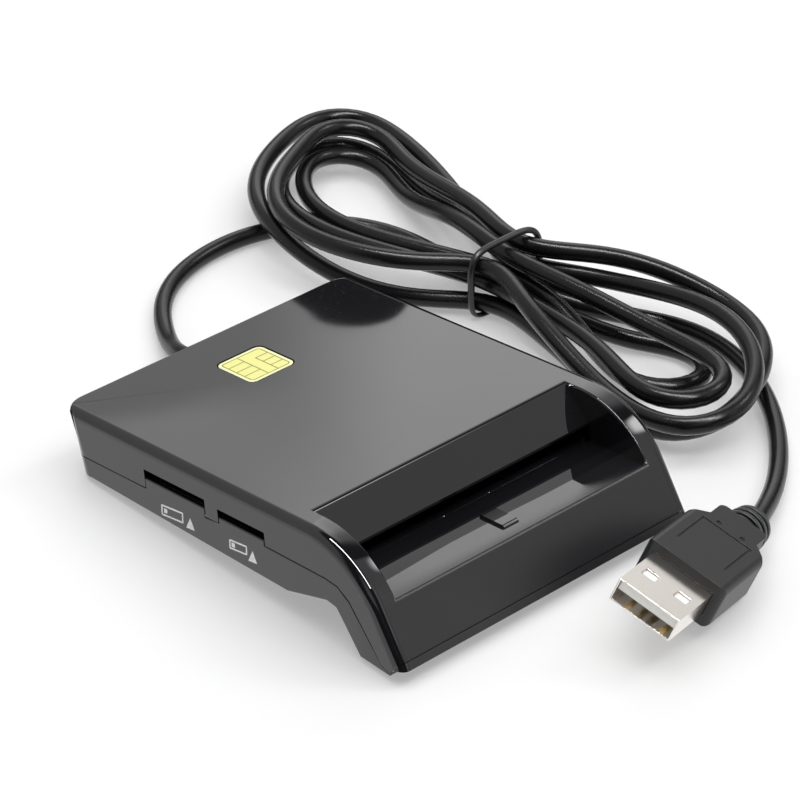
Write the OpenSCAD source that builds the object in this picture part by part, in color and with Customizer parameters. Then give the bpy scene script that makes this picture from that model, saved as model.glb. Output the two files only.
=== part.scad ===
/* [Body] */
// Width of the body, across the bay
body_w = 67; // [66:0.5:74]
// Length of the body, from the foot of the apron to the top of the rear wall
body_l = 88.2; // [87:0.2:94]
// Height of the deck at the rear wall
rear_h = 12.7; // [12.2:0.1:14]
// Tilt of the deck, in degrees
deck_tilt = 6.38; // [6:0.1:7]
// Radius of the two arches that run from the deck down to the apron
arch_r = 18.5; // [17:0.5:20]
// Slope of the apron, in degrees
apron_slope = 56.3; // [54:0.5:59]
// Height of the lower edge of the apron
apron_z = 4.2; // [4:0.1:4.6]
// Wall thickness of both shells
wall = 1.8; // [1.5:0.1:2]
// Thickness of the floor of the lower shell
floor_t = 1.3; // [1.1:0.1:1.4]
// Rounding of the long edges of deck and arches
edge_r = 1.8; // [1:0.1:2.4]
// Radius of the two upright corners at the rear
corner_r = 4.5; // [3:0.5:6]
// Lean of the rear wall, in degrees
rear_lean = 14.7; // [10:0.5:18]
// Gap of the seam between the shells
seam_gap = 0.15; // [0.1:0.05:0.25]

/* [Bay and card] */
// Width of the bay between the arches
bay_w = 57.6; // [57:0.2:58.4]
// Distance from the front of the body to the rear edge of the bay
bay_back = 25.77; // [24.5:0.1:27]
// Length along the deck that the sloping panel of the bay covers
panel_run = 5.31; // [5:0.1:5.8]
// Depth of the sloping panel below the deck
panel_drop = 6.23; // [6:0.1:6.5]
// Depth of the card bed below the deck
bed_depth = 9.7; // [9.6:0.05:9.8]
// Height of the lip of the apron above the card bed
lip_h = 0.2; // [0.1:0.05:0.4]
// Thickness of the walls inside the bay
bay_wall = 1.4; // [1.1:0.1:1.5]
// Width of a smart card
card_w = 53.98; // [53.9:0.02:54.1]
// Length of a smart card
card_l = 85.6; // [85.4:0.1:85.8]
// Thickness of a smart card
card_t = 0.8; // [0.7:0.02:0.84]
// Clearance on each side of a card
card_clear = 0.25; // [0.2:0.05:0.3]

/* [Side slots] */
// Length of the slot for a SIM card
sim_slot_l = 16.6; // [16:0.1:17]
// Height of the slot for a SIM card
sim_slot_h = 1.77; // [1.6:0.01:1.8]
// Length of the slot for a memory card
tf_slot_l = 12.36; // [12:0.02:12.8]
// Height of the slot for a memory card
tf_slot_h = 1.6; // [1.5:0.02:1.7]
// Free play of the ejecting slider of the memory card socket
slider_travel = 1.2; // [0.8:0.1:1.4]

/* [Board] */
// Thickness of the circuit board
board_t = 1; // [0.8:0.1:1.2]
// Depth of the upper face of the board below the deck
board_depth = 6.9; // [6.8:0.05:7]

/* [Contacts] */
// Spacing of the contacts of a smart card and of a SIM card
pad_pitch = 2.54; // [2.5:0.01:2.58]
// Distance between the two rows of contacts
row_pitch = 7.62; // [7.5:0.01:7.7]
// Distance from the leading edge of the card to its first row of contacts
first_row = 11.25; // [11:0.05:11.5]
// Thickness of the contact springs
spring_t = 0.2; // [0.15:0.01:0.22]

/* [Screws and feet] */
// Diameter of the four case screws
screw_d = 1.6; // [1.4:0.1:1.8]
// Length of the case screws under their heads
screw_l = 7; // [6:0.5:7.5]
// Diameter of the round feet at the rear
foot_d = 8; // [6:0.5:9]
// Length of the two front feet
pad_l = 14; // [10:1:18]

/* [Plug] */
// Width of the metal shell of the plug
plug_w = 12; // [11.9:0.05:12.1]
// Height of the metal shell of the plug
plug_h = 4.5; // [4.4:0.05:4.6]
// Length of the metal shell in front of the moulded grip
plug_l = 12; // [11.7:0.05:12.2]
// Sheet thickness of the metal shell
plug_sheet = 0.3; // [0.25:0.01:0.35]
// Width of the moulded grip
grip_w = 15.8; // [15:0.1:17]
// Height of the moulded grip
grip_h = 8.4; // [7.8:0.1:9]

/* [Cord] */
// Diameter of the cord
cord_d = 3.5; // [3.3:0.1:3.5]

/* [Hidden] */
$fn = 48;

// How far a cut runs past the face that it cuts
over = 1;
// Half of the body's length and width, and its two ends
half_l = body_l / 2;
half_w = body_w / 2;
rear_y = half_l;
front_y = -half_l;
// Smallest rounding inside a wall
least_r = 0.3;

// Centre of the arches, from the deck's line and the apron's line, both a radius away
deck_reach = sin(deck_tilt) * rear_y + cos(deck_tilt) * rear_h - arch_r;
apron_reach = -sin(apron_slope) * front_y + cos(apron_slope) * apron_z - arch_r;
turn = sin(apron_slope + deck_tilt);
arch_y = (deck_reach * cos(apron_slope) - cos(deck_tilt) * apron_reach) / turn;
arch_z = (sin(deck_tilt) * apron_reach + sin(apron_slope) * deck_reach) / turn;

// Height of the deck's surface at a place along the body
function deck_z(y) = rear_h + (rear_y - y) * tan(deck_tilt);
// The rear edge of the bay, where the frame of the inner pieces starts
bay_y = front_y + bay_back;
bay_z = deck_z(bay_y);

// The underside from the rear to the front leg, in shares of half the length and of the rear height
belly_shares = [[1.1, 0.03], [-0.4, 0.394], [-0.61, 0.64], [-0.658, 0.622], [-0.692, 0.52],
    [-0.794, 0.102], [-0.957, 0.102], [-0.964, 0.228]];
// The seam seen from the side, in the same shares
seam_shares = [[1.1, 0.28], [0.832, 0.394], [0.467, 0.543], [0.061, 0.725], [-0.261, 0.874],
    [-0.404, 0.921], [-0.601, 0.984], [-0.669, 0.976], [-0.735, 0.85], [-0.814, 0.559],
    [-0.909, 0.181], [-0.957, 0.134], [-0.98, 0.283], [-1.1, 0.56]];
function placed(shares) = [for (s = shares) [s[0] * half_l, s[1] * rear_h]];
belly = placed(belly_shares);
seam = placed(seam_shares);

// A line of points moved sideways by t, with mitred corners
function unit(v) = v / norm(v);
function left_of(v) = [-v[1], v[0]];
function shifted(p, t) = [for (i = [0 : len(p) - 1])
    let (a = left_of(unit(p[min(i + 1, len(p) - 1)] - p[min(i, len(p) - 2)])),
        b = left_of(unit(p[max(i, 1)] - p[max(i - 1, 0)])))
    p[i] + (a + b) / (1 + a * b) * t];
function backwards(p) = [for (i = [len(p) - 1 : -1 : 0]) p[i]];
function band(p, t) = concat(p, backwards(shifted(p, t)));

// A shape drawn in the side view, length first and height second, made w wide across the body
module across(w) {
    rotate([90, 0, 90]) linear_extrude(w, center = true) children();
}

// The frame of the inner pieces: its floor is the deck, and it runs along the deck to the rear
module deck_frame() {
    translate([0, bay_y, bay_z]) rotate([-deck_tilt, 0, 0]) children();
}

// A box given by its lowest corner and its highest corner
module block(low, high) {
    translate(low) cube(high - low);
}

// A flat rounded rectangle, centred
module rounded(size, r) {
    square([size[0], size[1] - 2 * r], center = true);
    square([size[0] - 2 * r, size[1]], center = true);
    for (x = [-1, 1], y = [-1, 1])
        translate([x * (size[0] / 2 - r), y * (size[1] / 2 - r)]) circle(r);
}

// Section of the body above the arches' centre, drawn in from the surface by inset
module section(inset) {
    r = max(edge_r - inset, least_r);
    half = half_w - inset;
    top = arch_r - inset;
    translate([-half, 0]) square([2 * half, top - r]);
    translate([r - half, 0]) square([2 * (half - r), top]);
    for (x = [-1, 1]) translate([x * (half - r), top - r]) circle(r);
}

// Plan of the body at the rear, with its two rounded corners
module plan(inset) {
    r = max(corner_r - inset, least_r);
    half = half_w - inset;
    length = body_l + bay_back;
    translate([-half, -length]) square([2 * half, length - inset - r]);
    translate([r - half, -length]) square([2 * (half - r), length - inset]);
    for (x = [-1, 1]) translate([x * (half - r), -inset - r]) circle(r);
}

// Outer form of the body above its underside, drawn in from the surface by inset
module form(inset) {
    intersection() {
        translate([0, arch_y, arch_z]) {
            rotate([-deck_tilt, 0, 0]) translate([0, body_l, 0])
                rotate([90, 0, 0]) linear_extrude(body_l) section(inset);
            rotate([apron_slope, 0, 0]) rotate([0, -90, 0]) rotate_extrude() rotate(-90) section(inset);
            rotate([apron_slope, 0, 0]) rotate([90, 0, 0]) linear_extrude(arch_r) section(inset);
        }
        translate([0, rear_y, rear_h]) rotate([-rear_lean, 0, 0])
            linear_extrude(body_l, center = true) plan(inset);
    }
}

// Everything below the seam, raised by up
module under_seam(up) {
    line = [for (p = seam) p + [0, up]];
    across(body_w + 2 * over)
        polygon(concat(line, [[-body_l, -arch_r], [body_l, -arch_r]]));
}

// Everything above the underside, between the outer face of the floor and the top
module above_belly(t) {
    line = shifted(belly, -t);
    across(body_w + 2 * over)
        polygon(concat(line, [[-body_l, line[len(line) - 1][1]], [-body_l, body_l], [body_l, body_l]]));
}

// Bay, drawn in the deck frame: the sloping panel, the throat behind it and the card bed
panel_t = 1.5;
throat_l = 7.4;
throat_t = 1.1;
mouth_r = 0.5;
bed_z = -bed_depth;
card_top_z = bed_z + card_t + card_clear;
floor_edge = 0.15;
bay_floor_t = 1;
bay_end = [-panel_run, bed_z];
// Raised key on the bay's floor, under the middle of a card
key_half = 1.65;
key_y = [-16.1, -10];
key_h = 0.5;
panel_foot = [-panel_run, -panel_drop];
throat_end = [throat_l - panel_run, card_top_z];
lip_y = -19.1;
bay_front = -2 * bay_back;

module bay_solid() {
    w = bay_w + 2 * bay_wall;
    intersection() {
        form(0);
        deck_frame() across(w) polygon([
            [panel_t, 0], [panel_foot[0] + panel_t, panel_foot[1] + mouth_r],
            throat_end + [0, throat_t], throat_end, throat_end - [throat_t, 0],
            [bay_end[0], panel_foot[1] - mouth_r], bay_end, bay_end - [0, bay_floor_t],
            [bay_front, bed_z - bay_floor_t], [bay_front, bay_back], [panel_t, bay_back]]);
    }
}

module bay_void() {
    deck_frame() across(bay_w) polygon([
        [0, over], [0, 0], panel_foot, [bay_end[0], panel_foot[1] - mouth_r],
        bay_end, [lip_y + lip_h, bed_z], [lip_y, bed_z + lip_h],
        [bay_front, bed_z + lip_h], [bay_front, bay_back], [0, bay_back]]);
}

// Slots in the left side, in the deck frame
sim_y = 31.83;
sim_top = -4.75;
tf_y = 14.06;
tf_top = -5.3;
slot_clear = 0.2;

// A window from the seam up to the top of a slot, or the tab that closes it from below
module slot_box(y, l, top) {
    deck_frame() block([-half_w - over, y - l / 2, -rear_h], [-half_w + wall + over, y + l / 2, top]);
}

// Screws stand upright beside the card's path
screw_x = 30.1;
screw_y = [-16, 31];
boss_r = 1.9;
head_r = 1.45;
head_h = 1.1;
head_seat = 2;
fit = 0.05;
boss_depth = 8.3;
function boss_z(y) = deck_z(y) - boss_depth;
module at_screws() {
    for (x = [-1, 1], y = screw_y) translate([x * screw_x, y, boss_z(y)]) children();
}

// Cable outlet in the middle of the rear wall
outlet_z = 5.8;
neck_r = 2.1;
flange_r = 2.9;
flange_t = 0.9;
sleeve_l = 3;
outlet_wall_y = rear_y - (rear_h - outlet_z) * tan(rear_lean);

// Recess and lines of the emblem on the deck, a card's contact pad in outline
emblem_w = 9.95;
emblem_l = 9.4;
emblem_x = -1.33;
emblem_y = 47.1;
emblem_t = 0.5;
emblem_r = 1.2;
emblem_fit = 0.05;

// Tongue of the lower shell that laps inside the upper shell
tongue_h = 0.8;
tongue_t = 0.7;
tongue_fit = 0.1;

// Posts under the deck that hold the board down, in the deck frame
post_r = 1.5;
post_at = [[22, 8], [25, 49.5], [-22, 49.5], [-12, 8]];

module upper_shell() {
    color([0.05, 0.05, 0.055]) union() {
        hollow_top();
        deck_frame() translate([0, 0, bed_z - bay_floor_t / 2]) across(2 * key_half) polygon([[key_y[0], 0],
            [key_y[0], bay_floor_t / 2 + lip_h], [key_y[0] + key_h, bay_floor_t / 2 + key_h],
            [key_y[1], bay_floor_t / 2 + key_h], [key_y[1], 0]]);
    }
}
module hollow_top() {
    difference() {
        union() {
            difference() {
                form(0);
                form(wall);
                under_seam(0);
                intersection() {
                    form(wall - tongue_t - tongue_fit);
                    under_seam(tongue_h + tongue_fit);
                }
            }
            bay_solid();
            intersection() {
                at_screws() cylinder(rear_h, r = boss_r);
                form(wall / 2);
            }
            deck_frame() for (p = post_at)
                translate([p[0], p[1], -board_depth + fit]) cylinder(board_depth - wall / 2, r = post_r);
        }
        bay_void();
        slot_box(sim_y, sim_slot_l, sim_top);
        slot_box(tf_y, tf_slot_l, tf_top);
        at_screws() translate([0, 0, -over]) cylinder(screw_l - head_seat + 2 * over, r = screw_d / 2 + fit);
        translate([0, outlet_wall_y, outlet_z]) rotate([90, 0, 0])
            cylinder(2 * wall + 2 * over, r = neck_r + fit, center = true);
        translate([0, outlet_wall_y, outlet_z - neck_r]) cube([2 * (neck_r + fit), 2 * wall + 2 * over,
            2 * neck_r], center = true);
        deck_frame() translate([emblem_x, emblem_y, -emblem_t])
            linear_extrude(emblem_t + over) rounded([emblem_w + 2 * emblem_fit, emblem_l + 2 * emblem_fit],
            emblem_r);
    }
}

// Lower shell: floor, leg, side walls, card bed, rails and bosses
rail_t = 0.8;
rail_in = card_w / 2 + card_clear;
rail_end = 57.5;
rail_start = -panel_run + floor_edge;
board_front = 5;
rib_t = 1;
rib_count = 5;
rib_share = 0.8;
stop_t = 1.2;
stop_half = 20;
sill_t = 1.6;
dimple_x = 5.2;
dimple_r = 0.35;

// Everything inside the walls, down to half of the floor
module tub_core() {
    intersection() {
        form(wall);
        above_belly(floor_t / 2);
    }
}

module lower_shell() {
    color([0.06, 0.06, 0.065]) difference() {
        union() {
            // Side walls and rear wall up to the seam, with the tabs under the two slots
            intersection() {
                difference() {
                    form(0);
                    form(wall);
                }
                above_belly(0);
                union() {
                    under_seam(-seam_gap);
                    slot_box(sim_y, sim_slot_l - 2 * slot_clear, sim_top - sim_slot_h);
                    slot_box(tf_y, tf_slot_l - 2 * slot_clear, tf_top - tf_slot_h);
                }
            }
            // Tongue that laps inside the upper shell
            intersection() {
                difference() {
                    form(wall - tongue_t);
                    form(wall);
                }
                above_belly(0);
                under_seam(tongue_h);
            }
            // Floor and leg
            intersection() {
                form(0);
                under_seam(-seam_gap);
                across(body_w) polygon(band(belly, -floor_t));
            }
            intersection() {
                form(wall + tongue_fit);
                across(body_w) polygon(band(belly, -floor_t));
            }
            // Card bed: a sill behind the bay, ribs, rails and an end stop
            intersection() {
                tub_core();
                deck_frame() {
                    block([-bay_w / 2, rail_start, -rear_h - over], [bay_w / 2, rail_start + sill_t, bed_z]);
                    for (i = [0 : rib_count - 1]) translate([(i / (rib_count - 1) - 0.5) * card_w * rib_share, 0, 0])
                        block([-rib_t / 2, rail_start, -rear_h - over], [rib_t / 2, rail_end, bed_z]);
                    for (x = [-1, 1]) translate([x * (rail_in + rail_t / 2), 0, 0]) {
                        block([-rail_t / 2, rail_start, -rear_h - over], [rail_t / 2, rail_end, card_top_z - fit]);
                        block([-rail_t / 2, board_front, -rear_h - over],
                            [rail_t / 2, rail_end, -board_depth - board_t]);
                    }
                    block([-stop_half, rail_end - stop_t, -rear_h - over], [stop_half, rail_end, card_top_z]);
                }
            }
            intersection() {
                tub_core();
                at_screws() translate([0, 0, -rear_h - fit]) cylinder(rear_h, r = boss_r);
            }
        }
        at_screws() {
            translate([0, 0, -rear_h]) cylinder(rear_h + over, r = screw_d / 2 + fit);
            translate([0, 0, -rear_h - head_seat]) cylinder(rear_h, r = head_r + 2 * fit);
        }
        deck_frame() for (x = [-1, 1]) translate([x * dimple_x, rail_start, bed_z - dimple_r])
            rotate([0, 0, 45]) cylinder(dimple_r + over, r = dimple_r);
        translate([0, outlet_wall_y, outlet_z]) rotate([90, 0, 0])
            cylinder(2 * wall + 2 * over, r = neck_r + fit, center = true);
        translate([0, outlet_wall_y, outlet_z]) cube([2 * (neck_r + fit), 2 * wall + 2 * over,
            neck_r], center = true);
        translate([0, sheath_in + flange_t, outlet_z]) rotate([90, 0, 0])
            cylinder(flange_t + over, r = flange_r + 2 * fit);
        foot_seats(fit);
    }
}

// Feet: two discs at the rear and two pads under the leg
foot_at = [24, 36];
pad_at = [20, -38.6];
pad_w = 4;
foot_seat = 0.35;
foot_top = 1.6;
pad_top = belly[6][1] + foot_seat;

module foot_seats(gap) {
    for (x = [-1, 1]) {
        translate([x * foot_at[0], foot_at[1], 0]) cylinder(foot_top + gap, d = foot_d + 2 * gap);
        translate([x * pad_at[0], pad_at[1], 0]) linear_extrude(pad_top + gap)
            rounded([pad_l + 2 * gap, pad_w + 2 * gap], pad_w / 2 + gap - fit);
    }
}
module rubber_feet() {
    color([0.12, 0.12, 0.12]) foot_seats(0);
}

// Emblem: a plate with the gaps between eight contact fields cut as shallow lines
line_w = 0.22;
line_t = 0.12;
field_w = 8.8;
field_l = 8.3;
// Lines as start and end, in shares of the field's half width and half length
line_shares = [[[-0.2, -1], [-0.2, 1]], [[0.3, -1], [0.3, 0.45]], [[0.3, 0.45], [1, 0.45]],
    [[-1, 0.52], [-0.2, 0.52]], [[-1, 0.04], [-0.2, 0.04]], [[-1, -0.52], [-0.2, -0.52]],
    [[0.3, -0.04], [1, -0.04]], [[0.3, -0.52], [1, -0.52]]];
module chip_emblem() {
    color([0.93, 0.88, 0.45]) deck_frame() translate([emblem_x, emblem_y, -emblem_t]) difference() {
        linear_extrude(emblem_t) rounded([emblem_w, emblem_l], emblem_r);
        for (s = line_shares) {
            a = [s[0][0] * field_w / 2, s[0][1] * field_l / 2];
            b = [s[1][0] * field_w / 2, s[1][1] * field_l / 2];
            translate([min(a[0], b[0]) - line_w / 2, min(a[1], b[1]) - line_w / 2, emblem_t - line_t])
                cube([abs(b[0] - a[0]) + line_w, abs(b[1] - a[1]) + line_w, line_t + over]);
        }
    }
}

// Circuit board, with a window for the contact block and notches round the bosses
board_w = 61.6;
board_rear = 52;
board_top = -board_depth;
board_low = board_top - board_t;
notch_gap = 0.3;
// Frame of the card's contacts
card_end = rail_end - stop_t - card_clear;
row_y = [card_end - first_row, card_end - first_row - row_pitch];
pads_x = 3.1;
block_w = 13.4;
block_l = 17.5;
block_shift = 2.4;
block_y = row_y[1] + row_pitch / 2 - block_shift;
block_flange = 1;
block_flange_t = 0.6;
block_low = card_top_z + fit;
// Lever of the switch that feels the card
switch_x = -12;
switch_y = 47;
switch_size = [5, 4.4, 1.7];
lever_w = 1.6;
lever_root_r = 0.36;
module main_board() {
    color([0.05, 0.3, 0.15]) difference() {
        deck_frame() difference() {
            block([-board_w / 2, board_front, board_low], [board_w / 2, board_rear, board_top]);
            translate([pads_x, block_y, board_low]) cube([block_w + 2 * fit, block_l + 2 * fit, 2 * board_t + over],
                center = true);
            translate([switch_x, switch_y + finger_l / 2, board_low])
                cube([lever_w + 2 * notch_gap, finger_l + 2 * over, 2 * board_t + over], center = true);
        }
        at_screws() cylinder(2 * rear_h, r = boss_r + notch_gap, center = true);
    }
}

// A contact spring: a strip that rises from a square root, bends over at the tip and falls again
finger_l = 5;
finger_w = 1;
root_r = 0.3;
tip_l = 1.1;
module finger(l, rise, w, t, r, tip) {
    path = [[r, t], [l - tip, rise - r], [l, rise], [l + tip, rise - tip / 3]];
    rotate([90, 0, 0]) linear_extrude(w, center = true)
        polygon(concat([[r, -r], [-r, -r], [-r, r], [r, r]], band(path, -t)));
}

// Contact block: eight springs in two rows press down on the card
press = 0.35;
root_z = board_low;
rise = root_z - (card_top_z - card_clear) + press;
slot_w = 1.3;
module pads() {
    for (i = [0 : 3]) translate([pads_x + (i - 1.5) * pad_pitch, 0, 0]) children();
}
module contact_row(y) {
    deck_frame() pads() translate([0, y - finger_l, root_z]) mirror([0, 0, 1]) rotate([0, 0, 90])
        finger(finger_l, rise, finger_w, spring_t, root_r, tip_l);
}
module contact_block() {
    color([0.08, 0.08, 0.08]) deck_frame() difference() {
        union() {
            block([pads_x - block_w / 2, block_y - block_l / 2, block_low],
                [pads_x + block_w / 2, block_y + block_l / 2, board_top + block_flange_t]);
            block([pads_x - block_w / 2 - block_flange, block_y - block_l / 2 - block_flange, board_top],
                [pads_x + block_w / 2 + block_flange, block_y + block_l / 2 + block_flange,
                board_top + block_flange_t]);
        }
        for (y = row_y) pads() block([-slot_w / 2, y - finger_l - 2 * root_r, block_low - over],
            [slot_w / 2, y + tip_l + root_r, root_z + 2 * root_r]);
    }
}
module card_contacts_rear() {
    color([0.85, 0.7, 0.3]) contact_row(row_y[0]);
}
module card_contacts_front() {
    color([0.85, 0.7, 0.3]) contact_row(row_y[1]);
}

// Switch that the card works through a lever
module detect_switch() {
    color([0.15, 0.15, 0.15]) deck_frame() difference() {
        block([switch_x - switch_size[0] / 2, switch_y - switch_size[1] / 2, board_top],
            [switch_x + switch_size[0] / 2, switch_y + switch_size[1] / 2, board_top + switch_size[2]]);
        block([switch_x - lever_w / 2 - notch_gap, switch_y - 2 * root_r, board_top - over],
            [switch_x + lever_w / 2 + notch_gap, switch_y + switch_size[1], board_top + 3 * root_r]);
    }
}
module detect_lever() {
    color([0.75, 0.75, 0.77]) deck_frame() translate([switch_x, switch_y, board_top]) mirror([0, 0, 1])
        rotate([0, 0, 90]) finger(finger_l, rise + board_t, lever_w, spring_t, lever_root_r, tip_l);
}

// SIM socket: a base with six springs and a steel cover
sim_w = 25;
sim_card_w = 15.2;
sim_card_t = 0.85;
sim_base_t = 0.8;
sim_wall = 0.7;
sim_inset = 0.5;
sim_x0 = -half_w + wall + sim_inset;
sim_x1 = sim_x0 + sim_w;
sim_cover_t = 0.2;
sim_row_in = 8.5;
sim_row_x = [sim_x0 + sim_row_in, sim_x0 + sim_row_in + row_pitch];
sim_root_lift = 0.4;
sim_root_z = board_top + sim_root_lift;
sim_root_r = 0.2;
sim_press = 0.3;
sim_t = 0.15;
sim_rise = board_top + sim_base_t + sim_press - sim_root_z;
sim_half = sim_card_w / 2 + sim_wall;
module sim_pads(x) {
    deck_frame() for (i = [-1 : 1]) translate([x - finger_l, sim_y + i * pad_pitch, sim_root_z]) children();
}
module sim_socket_base() {
    color([0.1, 0.1, 0.1]) difference() {
        deck_frame() {
            block([sim_x0, sim_y - sim_half, board_top], [sim_x1, sim_y + sim_half, board_top + sim_base_t]);
            for (s = [-1, 1]) translate([0, s * (sim_half - sim_wall / 2), 0])
                block([sim_x0, sim_y - sim_wall / 2, board_top],
                [sim_x1, sim_y + sim_wall / 2, board_top + sim_base_t + sim_card_t]);
            block([sim_x1 - sim_wall, sim_y - sim_half, board_top],
                [sim_x1, sim_y + sim_half, board_top + sim_base_t + sim_card_t]);
        }
        for (x = sim_row_x) sim_pads(x) block([-2 * sim_root_r, -slot_w / 2, -over],
            [finger_l + tip_l + sim_root_r, slot_w / 2, over]);
    }
}
module sim_socket_cover() {
    color([0.78, 0.78, 0.8]) deck_frame() {
        z = board_top + sim_base_t + sim_card_t;
        difference() {
            block([sim_x0, sim_y - sim_half - sim_cover_t, z], [sim_x1, sim_y + sim_half + sim_cover_t,
                z + sim_cover_t]);
            for (x = sim_row_x) translate([x - finger_l / 2, sim_y, z]) cube([finger_l, sim_card_w / 2, over],
                center = true);
        }
        for (s = [-1, 1]) translate([0, s * (sim_half + sim_cover_t / 2), 0])
            block([sim_x0, sim_y - sim_cover_t / 2, board_top], [sim_x1, sim_y + sim_cover_t / 2, z]);
    }
}
module sim_contacts_outer() {
    color([0.85, 0.7, 0.3]) sim_pads(sim_row_x[0]) finger(finger_l, sim_rise, finger_w, sim_t, sim_root_r, tip_l);
}
module sim_contacts_inner() {
    color([0.85, 0.7, 0.3]) sim_pads(sim_row_x[1]) finger(finger_l, sim_rise, finger_w, sim_t, sim_root_r, tip_l);
}

// Memory card socket: a base with eight springs, a steel cover, and a slider on a coil spring
tf_l = 15.5;
tf_card_w = 11.1;
tf_card_t = 0.85;
tf_base_t = 0.4;
tf_wall = 0.5;
tf_lane = 1.6;
tf_inset = 0.5;
tf_x0 = -half_w + wall + tf_inset;
tf_x1 = tf_x0 + tf_l;
tf_cover_t = 0.15;
tf_pitch = 1.1;
tf_finger_w = 0.6;
tf_finger_l = 3.6;
tf_tip = 0.6;
tf_root_r = 0.14;
tf_root_lift = 0.24;
tf_root_z = board_top + tf_root_lift;
tf_press = 0.2;
tf_t = 0.12;
tf_count = 8;
tf_row_in = 2.4;
tf_row_x = tf_x1 - tf_row_in;
tf_rise = board_top + tf_base_t + tf_press - tf_root_z;
tf_low = tf_y - tf_card_w / 2 - tf_wall;
tf_high = tf_y + tf_card_w / 2 + tf_wall;
tf_rear = tf_low - tf_lane;
tf_lid = board_top + tf_base_t + tf_card_t;
module tf_pads() {
    deck_frame() for (i = [0 : tf_count - 1])
        translate([tf_row_x - tf_finger_l, tf_y + (i - (tf_count - 1) / 2) * tf_pitch, tf_root_z]) children();
}
module tf_socket_base() {
    color([0.1, 0.1, 0.1]) difference() {
        deck_frame() {
            block([tf_x0, tf_rear - tf_wall, board_top], [tf_x1, tf_high, board_top + tf_base_t]);
            block([tf_x0, tf_high - tf_wall, board_top], [tf_x1, tf_high, tf_lid]);
            block([tf_x1 - tf_wall, tf_rear - tf_wall, board_top], [tf_x1, tf_high, tf_lid]);
            block([tf_x0, tf_rear - tf_wall, board_top], [tf_x1, tf_rear, tf_lid]);
            block([tf_x0, tf_rear, board_top], [slider_x - slider_gap, tf_low, tf_lid]);
        }
        tf_pads() block([-2 * tf_root_r, -(tf_pitch + tf_finger_w) / 4, -over],
            [tf_finger_l + tf_tip + tf_root_r, (tf_pitch + tf_finger_w) / 4, over]);
    }
}
module tf_socket_cover() {
    color([0.78, 0.78, 0.8]) deck_frame() {
        difference() {
            block([tf_x0, tf_rear - tf_wall - tf_cover_t, tf_lid], [tf_x1, tf_high + tf_cover_t,
                tf_lid + tf_cover_t]);
            translate([tf_x0, tf_y, tf_lid]) cylinder(over, r = tf_card_w / 4, center = true);
        }
        block([tf_x0, tf_high, board_top], [tf_x1, tf_high + tf_cover_t, tf_lid]);
        block([tf_x0, tf_rear - tf_wall - tf_cover_t, board_top], [tf_x1, tf_rear - tf_wall, tf_lid]);
    }
}
module tf_contacts() {
    color([0.85, 0.7, 0.3]) tf_pads() finger(tf_finger_l, tf_rise, tf_finger_w, tf_t, tf_root_r, tf_tip);
}

// The slider rests against the front of its lane and moves inward with the card
slider_gap = 0.1;
slider_l = 4.5;
coil_l = 5;
slider_x = tf_x1 - tf_wall - slider_l - slider_travel - coil_l;
hook_l = 1.5;
hook_w = 0.9;
module tf_slider() {
    color([0.2, 0.2, 0.22]) deck_frame() {
        z0 = board_top + tf_base_t + slider_gap / 2;
        z1 = tf_lid - slider_gap / 2;
        block([slider_x, tf_rear + slider_gap, z0], [slider_x + slider_l, tf_low + tf_wall - slider_gap, z1]);
        block([slider_x + slider_l - hook_l, tf_rear + slider_gap, z0],
            [slider_x + slider_l, tf_low + tf_wall + hook_w, z1]);
    }
}

// A tube of n sides swept along points, with its end faces square to the path
function pick(p, i) = p[max(0, min(i, len(p) - 1))];
function along(p, i) = unit(pick(p, i + 1) - pick(p, i - 1));
function ring(p, i, r, n) = let (t = along(p, i), s = unit(cross(t, [0, 0, 1])), u = cross(s, t))
    [for (k = [0 : n - 1]) p[i] + r * (s * cos(360 * k / n) + u * sin(360 * k / n))];
module tube(p, r, n) {
    m = len(p);
    points = [for (i = [0 : m - 1]) each ring(p, i, r, n)];
    sides = [for (i = [0 : m - 2], k = [0 : n - 1]) let (a = i * n + k, b = i * n + (k + 1) % n)
        each [[a, b + n, a + n], [a, b, b + n]]];
    caps = [for (k = [1 : n - 2]) each [[0, k + 1, k], [(m - 1) * n, (m - 1) * n + k, (m - 1) * n + k + 1]]];
    polyhedron(points, concat(sides, caps));
}
// Points of a smooth curve through hand-chosen points, with k steps between each pair
function spline(p, k) = concat([for (i = [0 : len(p) - 2], j = [0 : k - 1])
    let (a = pick(p, i - 1), b = p[i], c = p[i + 1], d = pick(p, i + 2), t = j / k)
    (2 * b + (c - a) * t + (2 * a - 5 * b + 4 * c - d) * t * t + (3 * b - a - 3 * c + d) * t * t * t) / 2],
    [p[len(p) - 1]]);

// The same points with each inner corner cut off at a distance c
function eased(p, c) = concat([p[0]], [for (i = [1 : len(p) - 2]) each
    [p[i] + unit(p[i - 1] - p[i]) * c, p[i] + unit(p[i + 1] - p[i]) * c]], [p[len(p) - 1]]);

// The slider's coil spring, in its lane behind the slider
coil_r = 0.32;
coil_wire_r = 0.07;
coil_turns = 9;
coil_steps = 8;
coil_sides = 5;
coil_x = [slider_x + slider_l + slider_gap, tf_x1 - tf_wall - slider_gap];
coil_at = [(tf_rear + tf_low + tf_wall) / 2, board_top + tf_base_t + tf_card_t / 2];
module tf_spring() {
    count = coil_turns * coil_steps;
    color([0.7, 0.7, 0.72]) deck_frame() tube([for (i = [0 : count])
        [coil_x[0] + (coil_x[1] - coil_x[0]) * i / count, coil_at[0] + coil_r * cos(360 * i / coil_steps),
        coil_at[1] + coil_r * sin(360 * i / coil_steps)]], coil_wire_r, coil_sides);
}

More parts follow.
